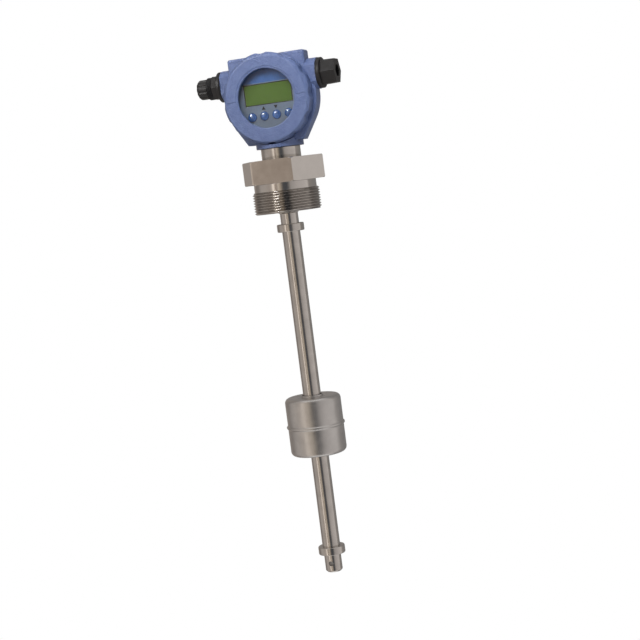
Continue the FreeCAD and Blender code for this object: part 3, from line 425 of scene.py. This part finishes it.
def lcdFinish(middle, halfWide, halfHigh):
    # green display with a thin dark line round its edge, partly the screen's own frame and partly painted
    # shade cast by the recess's edge; the three sizes are in metres
    material, tree, shader = newMaterial("displayGreen", (0.115, 0.215, 0.038), 0.22)
    vector = coordinates(tree)
    cells = noiseField(tree, vector, scale=45, detail=2)
    colour = ramp(tree, cells, [(0.3, (0.055, 0.118, 0.013)), (0.7, (0.066, 0.134, 0.017))])
    axes = axesOf(tree, vector)
    # the dark line round the edge: the screen's frame together with painted shade from the recess
    edge = mathNode(tree, "MAXIMUM", axisEdge(tree, axes["X"], 0, halfWide),
                    axisEdge(tree, axes["Z"], middle, halfHigh))
    frameAndShade = mixColours(tree, edge, colour, (0.012, 0.016, 0.012, 1))
    tree.links.new(frameAndShade, shader.inputs["Base Color"])
    return material


# the faceplate's strip and the screen: heights are above the head's middle
display = {"stripUp": 14.2, "screenUp": 4.2, "screenHalfWide": 21.2, "screenHalfHigh": 8.5}
stainless = (0.60, 0.575, 0.55)

paint = paintFinish()
steel = steelFinish("turnedSteel", stainless, 0.16)
milled = steelFinish("fittingSteel", stainless, 0.13, cloudy=0.4)
# painted shade in the thread's grooves
paintShadeInGrooves(milled)
floatSteel = steelFinish("satinSteel", (0.62, 0.61, 0.60), 0.33)
blackPlastic = plasticFinish("blackPlastic", (0.009, 0.009, 0.010), 0.42)
rubber = plasticFinish("sealRubber", (0.016, 0.016, 0.016), 0.6)
foil = faceplateFinish((head["mid"] + display["stripUp"]) * mm)
green = lcdFinish((head["mid"] + display["screenUp"]) * mm, display["screenHalfWide"] * mm,
                  display["screenHalfHigh"] * mm)
buttonBlue = plasticFinish("buttonBlue", (0.006, 0.075, 0.28), 0.10, grain=0.000002, coat=1.0,
                           coatRoughness=0.06)
buttonBlue.node_tree.nodes["Principled BSDF"].inputs["Coat IOR"].default_value = 1.85
board = plasticFinish("boardGreen", (0.02, 0.14, 0.06), 0.4)
terminalGrey = plasticFinish("terminalGrey", (0.18, 0.19, 0.20), 0.45)
brass = steelFinish("brass", (0.70, 0.50, 0.22), 0.22)
markBlack = plasticFinish("markBlack", (0.01, 0.01, 0.01), 0.5)
markBlack.node_tree.nodes["Principled BSDF"].inputs["Specular IOR Level"].default_value = 0.05
glass = glassFinish()
print("materials made")

# process fitting: hexagon, relief, pipe thread and weld

fitting = {
    "across": 65.0, "hexRounding": 0.03, "hexTop": 27.3, "hexFoot": 6.8, "hexRows": 8, "pastCorner": 1,
    "bevelRadius": 36.2, "bevelHigh": 1.3, "bevelSteps": 9, "faceRings": (24.0, 30.0, 32.3),
    "socketRadius": 12.53, "socketFoot": 18.3, "mouthFoot": 27.0, "mouthRadius": 12.8, "neckRadius": 17.4,
    "relief": 27.5, "reliefRound": 0.5, "threadRadius": 29.8, "threadEnd": -19.4, "threadStep": 0.105,
    "pitch": 2.309, "threadDeep": 1.479, "crestShare": 0.13, "flankShare": 0.74, "flankSoft": 0.10,
    "runIn": 0.8, "reliefPast": 0.2, "endRing": 20.0, "weldRadius": 9.6, "weldRound": 0.4,
    "weldToe": ((9.0, -20.0), (8.5, -20.45)), "weldFoot": -20.8, "stemSocket": 8.03, "tubeSeat": -7.4,
    "tubeBore": 6.5, "columns": 288,
}


def pipeThread(angles, radius, height):
    # radius falls by the thread's depth along a right-hand helix: the phase grows with height and
    # falls with the angle, and a rounded triangle wave of it gives the flanks
    f = fitting
    phase = (height / f["pitch"] - angles / (2 * math.pi)) % 1
    wave = np.clip((np.abs(2 * phase - 1) - f["crestShare"]) / f["flankShare"], 0, 1)
    wave = wave + f["flankSoft"] * np.sin(2 * math.pi * wave) / math.pi
    helix = f["threadRadius"] - f["threadDeep"] * wave
    start = f["relief"] + f["runIn"] - height
    end = f["threadRadius"] - f["threadDeep"] + (height - f["threadEnd"])
    threaded = (height <= 0) & (height >= f["threadEnd"]) & (radius > f["relief"] + f["reliefPast"])
    cut = np.minimum(np.minimum(helix, start), end)
    return np.where(threaded, cut, radius), height


def hexLimit(angles, height):
    f = fitting
    flat = hexagonLimit(angles, f["across"], f["hexRounding"])
    return np.where(height > f["hexFoot"] - slack, flat, noLimit)


def buildFitting():
    # the outline runs up the neck's socket, over the hexagon, down the thread and up the stem's bore
    f = fitting
    top, foot, end = f["hexTop"], f["hexFoot"], f["threadEnd"]
    corner = f["across"] / math.sqrt(3) + f["pastCorner"]
    outer = np.linspace(0, end, int(-end / f["threadStep"]))
    hexRows = np.linspace(top - f["bevelHigh"], foot + f["bevelHigh"], f["hexRows"])
    upper = [(f["bevelRadius"] + (corner - f["bevelRadius"]) * b, top - f["bevelHigh"] * b)
             for b in np.linspace(0, 1, f["bevelSteps"])]
    lower = [(r, top + foot - z) for r, z in reversed(upper)]
    corners = [(f["socketRadius"], f["socketFoot"]), (f["socketRadius"], f["mouthFoot"])]
    corners += [(f["mouthRadius"], top), (f["neckRadius"], top)]
    corners += [(r, top) for r in f["faceRings"]]
    corners += upper + [(corner, z) for z in hexRows[1:-1]] + lower
    corners += [(r, foot) for r in reversed(f["faceRings"][1:])]
    corners += [(f["relief"], foot, f["reliefRound"]), (f["relief"], 0.0)]
    corners += [(f["threadRadius"], z) for z in outer]
    corners += [(f["endRing"], end), (f["weldRadius"], end, f["weldRound"]), *f["weldToe"]]
    corners += [(f["stemSocket"], f["weldFoot"]), (f["stemSocket"], f["tubeSeat"])]
    corners += [(f["tubeBore"], f["tubeSeat"]), (f["tubeBore"], f["socketFoot"])]
    turned("process_fitting_piece", corners, onStem, f["columns"], limit=hexLimit, shape=pipeThread,
           body="transmitter", stands=["process_fitting"], slotName="stainless", material=milled)


buildFitting()
print("fitting built")

# neck, stem, collars and tip

neck = {
    "bore": 5.0, "foot": 18.3, "footRadius": 12.5, "shoulder": 27.32, "shoulderRadius": 17.2,
    "bodyFoot": 27.9, "bodyRadius": 17.4, "bodyTop": 37.2, "spigotRadius": 9.0, "spigotFoot": 37.4,
    "top": 46.4,
}
stem = {"bore": 6.5, "radius": 8.0, "foot": -325.3, "top": -7.4}


def buildNeck():
    n = neck
    turned("neck_adapter_piece", [
        (n["bore"], n["foot"]), (n["footRadius"], n["foot"]), (n["footRadius"], n["shoulder"]),
        (n["shoulderRadius"], n["shoulder"], 0.2), (n["bodyRadius"], n["bodyFoot"]),
        (n["bodyRadius"], n["bodyTop"], 0.3), (n["spigotRadius"], n["spigotFoot"]),
        (n["spigotRadius"], n["top"], 0.5), (n["bore"], n["top"]),
    ], onStem, body="transmitter", stands=["neck_adapter"], slotName="stainless", material=steel)


def buildStem():
    s = stem
    turned("stem_tube_piece", [
        (s["bore"], s["foot"]), (s["radius"], s["foot"]), (s["radius"], s["top"]), (s["bore"], s["top"]),
    ], onStem, body="transmitter", stands=["stem_tube"], slotName="stainless", material=steel)


buildNeck()
buildStem()
for ringName in ("upper_stop_collar", "lower_stop_collar"):
    dressed(ringName, "transmitter", "stainless", steel)
dressed("end_plug", "transmitter", "stainless", steel, bevel=0.15)
dressed("collar_screws", "transmitter", "stainless", steel)

# float: two drawn shells, the weld bead between them and the sleeve

floatSizes = {
    "mid": -210.7, "radius": 25.0, "half": 26.0, "wall": 0.8, "round": 4.0, "bore": 9.73, "lip": 0.25,
    "lipOut": 0.4, "bead": 26.1, "beadHigh": 0.95, "beadFlat": 0.5, "seamHigh": 2.0, "step": 0.35,
    "stepHigh": 1.35, "soft": 0.3, "beadSoft": 0.4, "columns": 128,
}
sleeve = {"bore": 8.9, "radius": 9.7, "foot": -237.9, "top": -183.5, "round": 0.25}


def buildShell(name, side):
    # one outline for both shells, with heights from the float's middle; side turns it up or down
    f = floatSizes
    inner = f["radius"] - f["wall"]
    profile = [
        (f["bore"], f["half"] - f["wall"]), (f["bore"], f["half"] - f["lip"]),
        (f["bore"] + f["lipOut"], f["half"]), (f["radius"], f["half"], f["round"]),
        (f["radius"], f["seamHigh"], f["soft"]), (f["radius"] + f["step"], f["stepHigh"], f["soft"]),
        (f["bead"] - f["step"], f["beadHigh"], f["beadSoft"]), (f["bead"], f["beadFlat"], f["soft"]),
        (f["bead"], 0.0), (inner, 0.0), (inner, f["half"] - f["wall"], f["round"] - f["wall"]),
    ]
    corners = [(c[0], f["mid"] + side * c[1], *c[2:]) for c in profile]
    turned(name + "_piece", corners, onStem, f["columns"], body="float", stands=[name],
           slotName="float_steel", material=floatSteel)


def buildSleeve():
    s = sleeve
    turned("float_bore_tube_piece", [
        (s["bore"], s["foot"]), (s["radius"], s["foot"], s["round"]),
        (s["radius"], s["top"], s["round"]), (s["bore"], s["top"]),
    ], onStem, body="float", stands=["float_bore_tube"], slotName="float_steel", material=floatSteel)


buildShell("float_upper_shell", 1)
buildShell("float_lower_shell", -1)
buildSleeve()
print("stem and float built")

# painted head

dressed("housing_body", "transmitter", "blue_paint", paint, sharp=32, bevel=0.35)
dressed("earth_screw", "transmitter", "stainless", steel)

cover = {
    "radius": 39.4, "back": 11.6, "face": 23.0, "bevel": 2.0, "window": 25.5, "lip": 2.4, "inner": 31.0,
    "spigot": 33.2, "spigotEnd": 4.6, "grooveInner": 35.4, "grooveOuter": 37.4, "grooveFloor": 13.1,
    "notches": 12, "notchRadius": 9.0, "notchDeep": 1.3, "notchSoft": 0.35, "rimPast": 0.05,
    "bandInner": 27.2, "bandOuter": 36.8, "bandHigh": 0.5, "bandEdge": 0.4, "bandStep": 0.35,
    "faceSlack": 0.05, "columns": 600, "step": 0.5,
}


def coverLimit(angles, height):
    # distance to the nearest notch circle along each direction, softened where it meets the rim by
    # the negative logarithm of the sum of both falling exponentials
    c = cover
    turn = 2 * math.pi / c["notches"]
    middle = c["radius"] + c["notchRadius"] - c["notchDeep"]
    offset = (angles - math.pi / 2 + turn / 2) % turn - turn / 2
    inside = c["notchRadius"] ** 2 - (middle * np.sin(offset)) ** 2
    notch = middle * np.cos(offset) - np.sqrt(np.maximum(inside, 0))
    notch = np.where(inside > 0, notch, noLimit)
    soft = c["notchSoft"]
    blend = -soft * np.log(np.exp(-notch / soft) + np.exp(-(c["radius"] + c["rimPast"]) / soft))
    return np.where(height > c["back"] - slack, blend, noLimit)


def coverShape(angles, radius, height):
    # the upper half of the face is raised by the band's height, with short ramps at its edges
    c = cover
    inner = np.clip((radius - c["bandInner"]) / c["bandEdge"], 0, 1)
    outer = np.clip((c["bandOuter"] - radius) / c["bandEdge"], 0, 1)
    ring = inner * outer
    upper = np.clip(radius * np.sin(angles) / c["bandStep"] + 0.5, 0, 1)
    onFace = height > c["face"] - c["faceSlack"]
    return radius, height + np.where(onFace, c["bandHigh"] * ring * upper, 0)


def buildCover():
    # the outline runs from the spigot over the seal groove and the rim to the window's lip
    c = cover
    lipFloor = c["face"] - c["lip"]
    corners = [
        (c["inner"], c["spigotEnd"]), (c["spigot"], c["spigotEnd"], 0.4), (c["spigot"], c["back"]),
        (c["grooveInner"], c["back"]), (c["grooveInner"], c["grooveFloor"]),
        (c["grooveOuter"], c["grooveFloor"]), (c["grooveOuter"], c["back"]),
        (c["radius"], c["back"], 0.5), (c["radius"], c["face"] - c["bevel"], 1.0),
        (c["radius"] - c["bevel"], c["face"], 1.0), (c["window"], c["face"], 0.8),
        (c["window"], lipFloor, 0.3), (c["inner"], lipFloor),
    ]
    turned("front_cover_piece", corners, onFront, c["columns"], step=c["step"], limit=coverLimit,
           shape=coverShape, sharp=40, body="cover", stands=["front_cover"], slotName="blue_paint",
           material=paint)


buildCover()
dressed("window_gasket", "cover", "seal_rubber", rubber)
window = dressed("front_window", "cover", "window_glass", glass)
window.visible_shadow = False
dressed("window_retainer", "cover", "stainless", steel)
dressed("cover_seal", "cover_ring", "seal_rubber", rubber)
print("head built")

# display, buttons and boards

dressed("display_faceplate", "transmitter", "silver_plate", foil, bevel=0.1)
dressed("lcd_panel", "transmitter", "lcd_green", green, bevel=0.08)

button = {
    "across": (-16.8, -5.6, 5.6, 16.8), "drop": 14.7, "radius": 3.95, "dome": 1.8, "domeFoot": 0.25,
    "domeSteps": 12, "front": 14.4, "back": 12.4, "flange": 4.7, "flangeThick": 0.8, "columns": 64,
}
mark = {"size": 1.7, "foot": 0.8, "drop": 7.9, "low": 0.005, "high": 0.25}


def buildButton(name, body, across):
    # a flange, a straight side and a dome that is a quarter of an ellipse
    b = button

    def place(x, y, z):
        return onFront(x + across, y - b["drop"], z)

    rise = b["dome"] - b["domeFoot"]
    dome = [(b["radius"] * math.cos(a), b["front"] + b["domeFoot"] + rise * math.sin(a))
            for a in np.linspace(0, math.pi / 2, b["domeSteps"])]
    shoulder = b["back"] + b["flangeThick"]
    corners = [(0, b["back"]), (b["flange"], b["back"]), (b["flange"], shoulder),
               (b["radius"], shoulder), *dome[:-1], (0, b["front"] + b["dome"])]
    turned(name + "_piece", corners, place, b["columns"], body=body, stands=[name],
           slotName="button_blue", material=buttonBlue)


def buildMark(name, across, flip):
    # a small printed arrow head: a thin three-sided prism on the faceplate
    m = mark
    half, foot = m["size"], m["size"] * m["foot"]
    flat = np.array([(-half, -foot), (half, -foot), (0, half)]) * (1, -1 if flip else 1)
    points = [onFront(x + across, y - m["drop"], button["front"] + level)
              for level in (m["low"], m["high"]) for x, y in flat]
    mesh = bpy.data.meshes.new(name)
    mesh.from_pydata([tuple(np.array(p) * mm) for p in points], [],
                     [(0, 1, 2), (3, 4, 5), (0, 1, 4, 3), (1, 2, 5, 4), (2, 0, 3, 5)])
    cleanMesh(mesh)
    asPiece(name, mesh, "transmitter", [], "black_plastic", markBlack)


for name, body, across in zip(("menu_button", "up_button", "down_button", "enter_button"),
                              ("menu_key", "up_key", "down_key", "enter_key"), button["across"]):
    buildButton(name, body, across)
buildMark("up_mark", button["across"][1], False)
buildMark("down_mark", button["across"][2], True)

for node, body, slotName, material in (
    ("display_board", "transmitter", "circuit_board", board),
    ("main_board", "transmitter", "circuit_board", board),
    ("button_switches", "transmitter", "black_plastic", blackPlastic),
    ("display_spacers", "transmitter", "brass_parts", brass),
    ("display_screws", "transmitter", "stainless", steel),
    ("terminal_block", "transmitter", "terminal_grey", terminalGrey),
    ("terminal_screws", "transmitter", "brass_parts", brass),
    ("sensor_connector", "transmitter", "terminal_grey", terminalGrey),
    ("sensor_strip", "transmitter", "circuit_board", board),
    ("reed_switches", "transmitter", "switch_glass", glass),
    ("sensor_lead", "transmitter", "lead_sleeve", terminalGrey),
    ("neck_seal", "transmitter", "seal_rubber", rubber),
    ("float_magnet", "float", "ferrite", blackPlastic),
    ("gland_washer", "transmitter", "seal_rubber", rubber),
    ("plug_washer", "plug_ring", "seal_rubber", rubber),
):
    dressed(node, body, slotName, material)
print("display and boards built")

# cable gland and blanking plug; heights are measured out of each entry's face

entry = {
    "shankEnd": -8.5, "shank": 9.2, "washer": 1.0, "flange": 13.3, "flangeEnd": 3.7, "hexFrom": 3.75,
    "hexStart": 3.72, "hexFoot": 3.8, "hexTurn": math.radians(30), "hexRounding": 0.2, "columns": 240,
}
gland = {
    "across": 19.8, "bore": 6.9, "footRadius": 10.6, "hexRadius": 11.9, "hexHigh": 8.4,
    "chamferRadius": 10.4, "hexTop": 9.2, "hexTo": 9.25, "spigot": 8.0, "spigotEnd": 16.4, "step": 0.5,
}
cap = {
    "start": 9.5, "ring": 9.85, "ringEnd": 14.2, "rings": 3, "groove": 0.6, "ringMargin": 0.3,
    "bore": 8.3, "boreEnd": 17.1, "neck": 8.75, "neckEnd": 14.3, "outside": 8.5, "dome": 8.7,
    "domeEnd": 22.0, "faceRadius": 7.1, "end": 23.9, "mouth": 5.6, "mouthEnd": 21.2, "seat": 6.95,
    "flutes": 10, "fluteDeep": 0.75, "fluteWide": 1.6, "fluteLess": 0.5, "fluteIn": 0.6,
    "fluteStop": 6.2, "fluteFade": 1.5, "step": 0.22,
}
insert = {"bore": 4.0, "radius": 6.6, "foot": 8.0, "top": 20.5}
plug = {
    "across": 21.0, "headEnd": 16.5, "draft": 2.0, "footRadius": 10.8, "hexRadius": 12.8,
    "hexHigh": 15.7, "faceRadius": 11.6, "socket": 10.0, "socketDeep": 5.0, "step": 0.6,
}


def entrySeat():
    # the shank and flange that the gland and the plug have alike
    e = entry
    return [(e["shank"], e["shankEnd"], 0.4), (e["shank"], e["washer"]),
            (e["flange"], e["washer"], 0.4), (e["flange"], e["flangeEnd"], 0.5)]


def entryHexagon(angles, across):
    return hexagonLimit(angles, across, entry["hexRounding"], entry["hexTurn"])


def glandHex(angles, height):
    onHex = (height > entry["hexFrom"]) & (height < gland["hexTo"])
    return np.where(onHex, entryHexagon(angles, gland["across"]), noLimit)


def buildGlandBody():
    g = gland
    turned("gland_body_piece", [
        (g["bore"], entry["shankEnd"]), *entrySeat(), (g["footRadius"], entry["hexStart"]),
        (g["hexRadius"], entry["hexFoot"]), (g["hexRadius"], g["hexHigh"]),
        (g["chamferRadius"], g["hexTop"]), (g["spigot"], g["hexTop"]),
        (g["spigot"], g["spigotEnd"], 0.3), (g["bore"], g["spigotEnd"]),
    ], onLeft, entry["columns"], step=g["step"], limit=glandHex, body="transmitter",
        stands=["gland_body"], slotName="black_plastic", material=blackPlastic)


def capShape(angles, radius, height):
    # grooves round the collar and flutes along the dome, faded out towards the mouth
    c = cap
    outer = radius > c["outside"]
    pitch = (c["ringEnd"] - c["start"]) / (c["rings"] + 1)
    wave = 0.5 - 0.5 * np.cos(2 * math.pi * ((height - c["start"]) / pitch - 0.5))
    margin = c["ringMargin"]
    collar = (height > c["start"] + margin) & (height < c["ringEnd"] - margin) & outer
    radius = radius - np.where(collar, c["groove"] * (1 - wave) ** 2, 0)
    flute = np.clip(np.cos(c["flutes"] * angles) * c["fluteWide"] - c["fluteLess"], 0, 1)
    start = np.clip((height - c["ringEnd"]) / c["fluteIn"], 0, 1)
    along = start * np.clip((radius - c["fluteStop"]) / c["fluteFade"], 0, 1)
    return radius - c["fluteDeep"] * flute * along, height


def buildCap():
    c = cap
    turned("gland_cap_piece", [
        (c["bore"], c["start"]), (c["ring"], c["start"], 0.3), (c["ring"], c["ringEnd"], 0.3),
        (c["neck"], c["neckEnd"]), (c["dome"], c["domeEnd"], 1.2), (c["faceRadius"], c["end"], 0.8),
        (c["mouth"], c["end"], 0.5), (c["mouth"], c["mouthEnd"]), (c["seat"], c["mouthEnd"]),
        (c["bore"], c["boreEnd"]),
    ], onLeft, entry["columns"], step=c["step"], shape=capShape, sharp=50, body="gland_nut",
        stands=["gland_cap"], slotName="black_plastic", material=blackPlastic)


def buildInsert():
    r = insert
    turned("gland_insert_piece", [
        (r["bore"], r["foot"]), (r["radius"], r["foot"], 0.4), (r["radius"], r["top"], 1.0),
        (r["bore"], r["top"], 0.6),
    ], onLeft, body="gland_rubber", stands=["gland_insert"], slotName="seal_rubber", material=rubber)


def plugLimit(angles, height):
    # the hexagon narrows towards its end by the draft in degrees
    taper = (height - entry["flangeEnd"]) * math.tan(math.radians(plug["draft"]))
    flat = entryHexagon(angles, plug["across"])
    return np.where(height > entry["hexFrom"], flat - taper, noLimit)


def plugShape(angles, radius, height):
    # the key socket: radii marked at its size follow a small hexagon
    key = entryHexagon(angles, plug["socket"])
    return np.where(np.abs(radius - plug["socket"] / 2) < slack, key, radius), height


def buildPlug():
    p = plug
    key, floor = p["socket"] / 2, p["headEnd"] - p["socketDeep"]
    turned("stopping_plug_piece", [
        (0, entry["shankEnd"]), *entrySeat(), (p["footRadius"], entry["hexStart"]),
        (p["hexRadius"], entry["hexFoot"]), (p["hexRadius"], p["hexHigh"]),
        (p["faceRadius"], p["headEnd"]), (key, p["headEnd"]), (key, floor), (0, floor),
    ], onRight, entry["columns"], step=p["step"], limit=plugLimit, shape=plugShape, body="plug",
        stands=["stopping_plug"], slotName="black_plastic", material=blackPlastic)


buildGlandBody()
buildCap()
buildInsert()
buildPlug()
print("gland and plug built")

# stage: floor, room, lamps and camera; sizes and places in metres

stage = {"floorHeight": -0.40, "floorSize": 8.0}


def buildFloor():
    # white to the camera, pale to every other ray, and not mirrored
    half = stage["floorSize"] / 2
    mesh = bpy.data.meshes.new("floor")
    square = ((-1, -1), (1, -1), (1, 1), (-1, 1))
    mesh.from_pydata([(a * half, b * half, stage["floorHeight"]) for a, b in square], [], [(0, 1, 2, 3)])
    floor = bpy.data.objects.new("floor", mesh)
    bpy.context.scene.collection.objects.link(floor)
    material, tree, shader = newMaterial("paleFloor", (0.93, 0.93, 0.93), 0.9)
    path = tree.nodes.new("ShaderNodeLightPath")
    glow = tree.nodes.new("ShaderNodeEmission")
    glow.inputs["Color"].default_value = (1, 1, 1, 1)
    mix = tree.nodes.new("ShaderNodeMixShader")
    tree.links.new(path.outputs["Is Camera Ray"], mix.inputs["Fac"])
    tree.links.new(shader.outputs["BSDF"], mix.inputs[1])
    tree.links.new(glow.outputs["Emission"], mix.inputs[2])
    tree.links.new(mix.outputs["Shader"], tree.nodes["Material Output"].inputs["Surface"])
    mesh.materials.append(material)
    floor.visible_glossy = False


# what a mirror sees round the object, by direction in degrees: 0 is in front, 90 to the right
room = [
    (-180, (0.25, 0.24, 0.23)), (-150, (0.34, 0.31, 0.29)), (-132, (0.40, 0.35, 0.31)),
    (-118, (0.26, 0.23, 0.21)), (-100, (0.30, 0.27, 0.25)), (-84, (0.50, 0.46, 0.43)),
    (-60, (0.52, 0.47, 0.43)), (-42, (0.48, 0.42, 0.38)), (-34, (0.60, 0.54, 0.48)),
    (-29, (1.30, 1.18, 1.06)), (-24, (1.20, 1.07, 0.94)), (-21, (0.42, 0.345, 0.285)),
    (-14.5, (0.36, 0.295, 0.25)), (-10, (0.76, 0.68, 0.59)), (-4, (0.64, 0.55, 0.44)),
    (2, (0.38, 0.32, 0.26)), (9, (0.105, 0.105, 0.11)), (24, (0.085, 0.09, 0.10)),
    (31, (0.21, 0.195, 0.185)), (38, (0.46, 0.43, 0.41)), (60, (0.57, 0.53, 0.51)),
    (94, (0.64, 0.60, 0.575)), (108, (0.72, 0.68, 0.65)), (113, (0.36, 0.33, 0.31)),
    (140, (0.30, 0.285, 0.275)), (180, (0.25, 0.24, 0.23)),
]

# what a mirror sees straight above and below, the sines of the angle over which that comes in, and
# the light that every ray but the camera's and a mirror's meets
sky = {"overhead": (0.88, 0.86, 0.84, 1), "from": 0.84, "to": 0.95, "plain": (0.24, 0.25, 0.27, 1)}


def buildRoom():
    # mirrors see the room, the camera sees white, and every other ray meets the plain light
    world = bpy.data.worlds.new("studio")
    bpy.context.scene.world = world
    world.use_nodes = True
    tree = world.node_tree
    tree.nodes.clear()
    source = tree.nodes.new("ShaderNodeTexCoord")
    axes = axesOf(tree, source.outputs["Generated"])
    turn = mathNode(tree, "ARCTAN2", axes["X"], mathNode(tree, "MULTIPLY", axes["Y"], -1))
    share = spread(tree, turn, start=-math.pi, end=math.pi)
    seen = ramp(tree, share, [((degrees + 180) / 360, colour) for degrees, colour in room])
    pole = spread(tree, mathNode(tree, "ABSOLUTE", axes["Z"]), start=sky["from"], end=sky["to"])
    path = tree.nodes.new("ShaderNodeLightPath")
    seen = mixColours(tree, pole, seen, sky["overhead"])
    light = mixColours(tree, path.outputs["Is Glossy Ray"], sky["plain"], seen)
    shown = mixColours(tree, path.outputs["Is Camera Ray"], light, (1, 1, 1, 1))
    back = tree.nodes.new("ShaderNodeBackground")
    out = tree.nodes.new("ShaderNodeOutputWorld")
    tree.links.new(shown, back.inputs["Color"])
    tree.links.new(back.outputs["Background"], out.inputs["Surface"])


# each lamp's place, side length and watts; the first four give no highlights, the last two only those
lamps = {
    "keyLamp": {"spot": (0.03, -0.28, 0.30), "size": 0.14, "power": 0.98, "glossy": False},
    "fillLamp": {"spot": (1.4, -1.2, 0.5), "size": 1.2, "power": 4, "glossy": False},
    "topLamp": {"spot": (0.2, 0.6, 1.6), "size": 1.0, "power": 7, "glossy": False},
    "backLamp": {"spot": (-0.5, 1.0, 0.7), "size": 1.0, "power": 10, "glossy": False},
    "sparkLamp": {"spot": (-0.60, -1.0, 0.72), "size": 0.55, "power": 8, "diffuse": False},
    "threadLamp": {"spot": (-0.31, -0.56, 0.76), "size": 0.25, "power": 3.0, "diffuse": False},
}

# for a lamp that doesn't light every piece: its collection and the finishes that it lights
lampSets = {
    "sparkLamp": ("sparkSet", ("bluePaint", "buttonBlue", "blackPlastic", "windowGlass")),
    "threadLamp": ("threadSet", ("fittingSteel",)),
}


def addLamp(name, spot, size, power, diffuse=True, glossy=True):
    # a square lamp that faces the origin
    lamp = bpy.data.lights.new(name, "AREA")
    lamp.shape = "SQUARE"
    lamp.size = size
    lamp.energy = power
    holder = bpy.data.objects.new(name, lamp)
    bpy.context.scene.collection.objects.link(holder)
    holder.location = spot
    holder.rotation_mode = "QUATERNION"
    holder.rotation_quaternion = (Vector((0, 0, 0)) - Vector(spot)).to_track_quat("-Z", "Y")
    holder.visible_camera = False
    holder.visible_diffuse = diffuse
    holder.visible_glossy = glossy
    holder.visible_transmission = glossy
    return holder


def linkLamp(lamp, name, finishes):
    # the lamp lights only the pieces with these finishes
    pieces = bpy.data.collections.new(name)
    for piece in bpy.data.objects:
        if piece.type == "MESH" and any(m and m.name in finishes for m in piece.data.materials):
            pieces.objects.link(piece)
    lamp.light_linking.receiver_collection = pieces


# fitted to the photograph: where the camera stands, what it looks at, its turn about its own axis in
# degrees, its focal length in pixels, the picture's width in pixels and the sensor's width in mm
view = {
    "spot": (0.40563, -1.23121, 0.0032), "aim": (0.01462, 0.00482, -0.11829), "roll": 7.2415,
    "focal": 1464.8, "width": 640, "sensor": 36, "near": 0.05, "far": 50,
}


def buildCamera():
    # right and up of a level camera, both turned about its line of sight by the roll
    spot, aim = Vector(view["spot"]), Vector(view["aim"])
    roll = math.radians(view["roll"])
    ahead = (aim - spot).normalized()
    right = ahead.cross(Vector((0, 0, 1))).normalized()
    up = right.cross(ahead)
    across = right * math.cos(roll) - up * math.sin(roll)
    over = right * math.sin(roll) + up * math.cos(roll)
    camera = bpy.data.objects.new("camera", bpy.data.cameras.new("camera"))
    bpy.context.scene.collection.objects.link(camera)
    camera.data.sensor_width = view["sensor"]
    camera.data.lens = view["focal"] * view["sensor"] / view["width"]
    camera.data.clip_start, camera.data.clip_end = view["near"], view["far"]
    turn = Matrix((across, over, -ahead)).transposed().to_4x4()
    camera.matrix_world = Matrix.Translation(spot) @ turn
    bpy.context.scene.camera = camera


buildFloor()
buildRoom()
for name, values in lamps.items():
    lamp = addLamp(name, **values)
    if name in lampSets:
        linkLamp(lamp, *lampSets[name])
buildCamera()
bpy.context.scene.view_settings.view_transform = "Standard"
print("stage built")
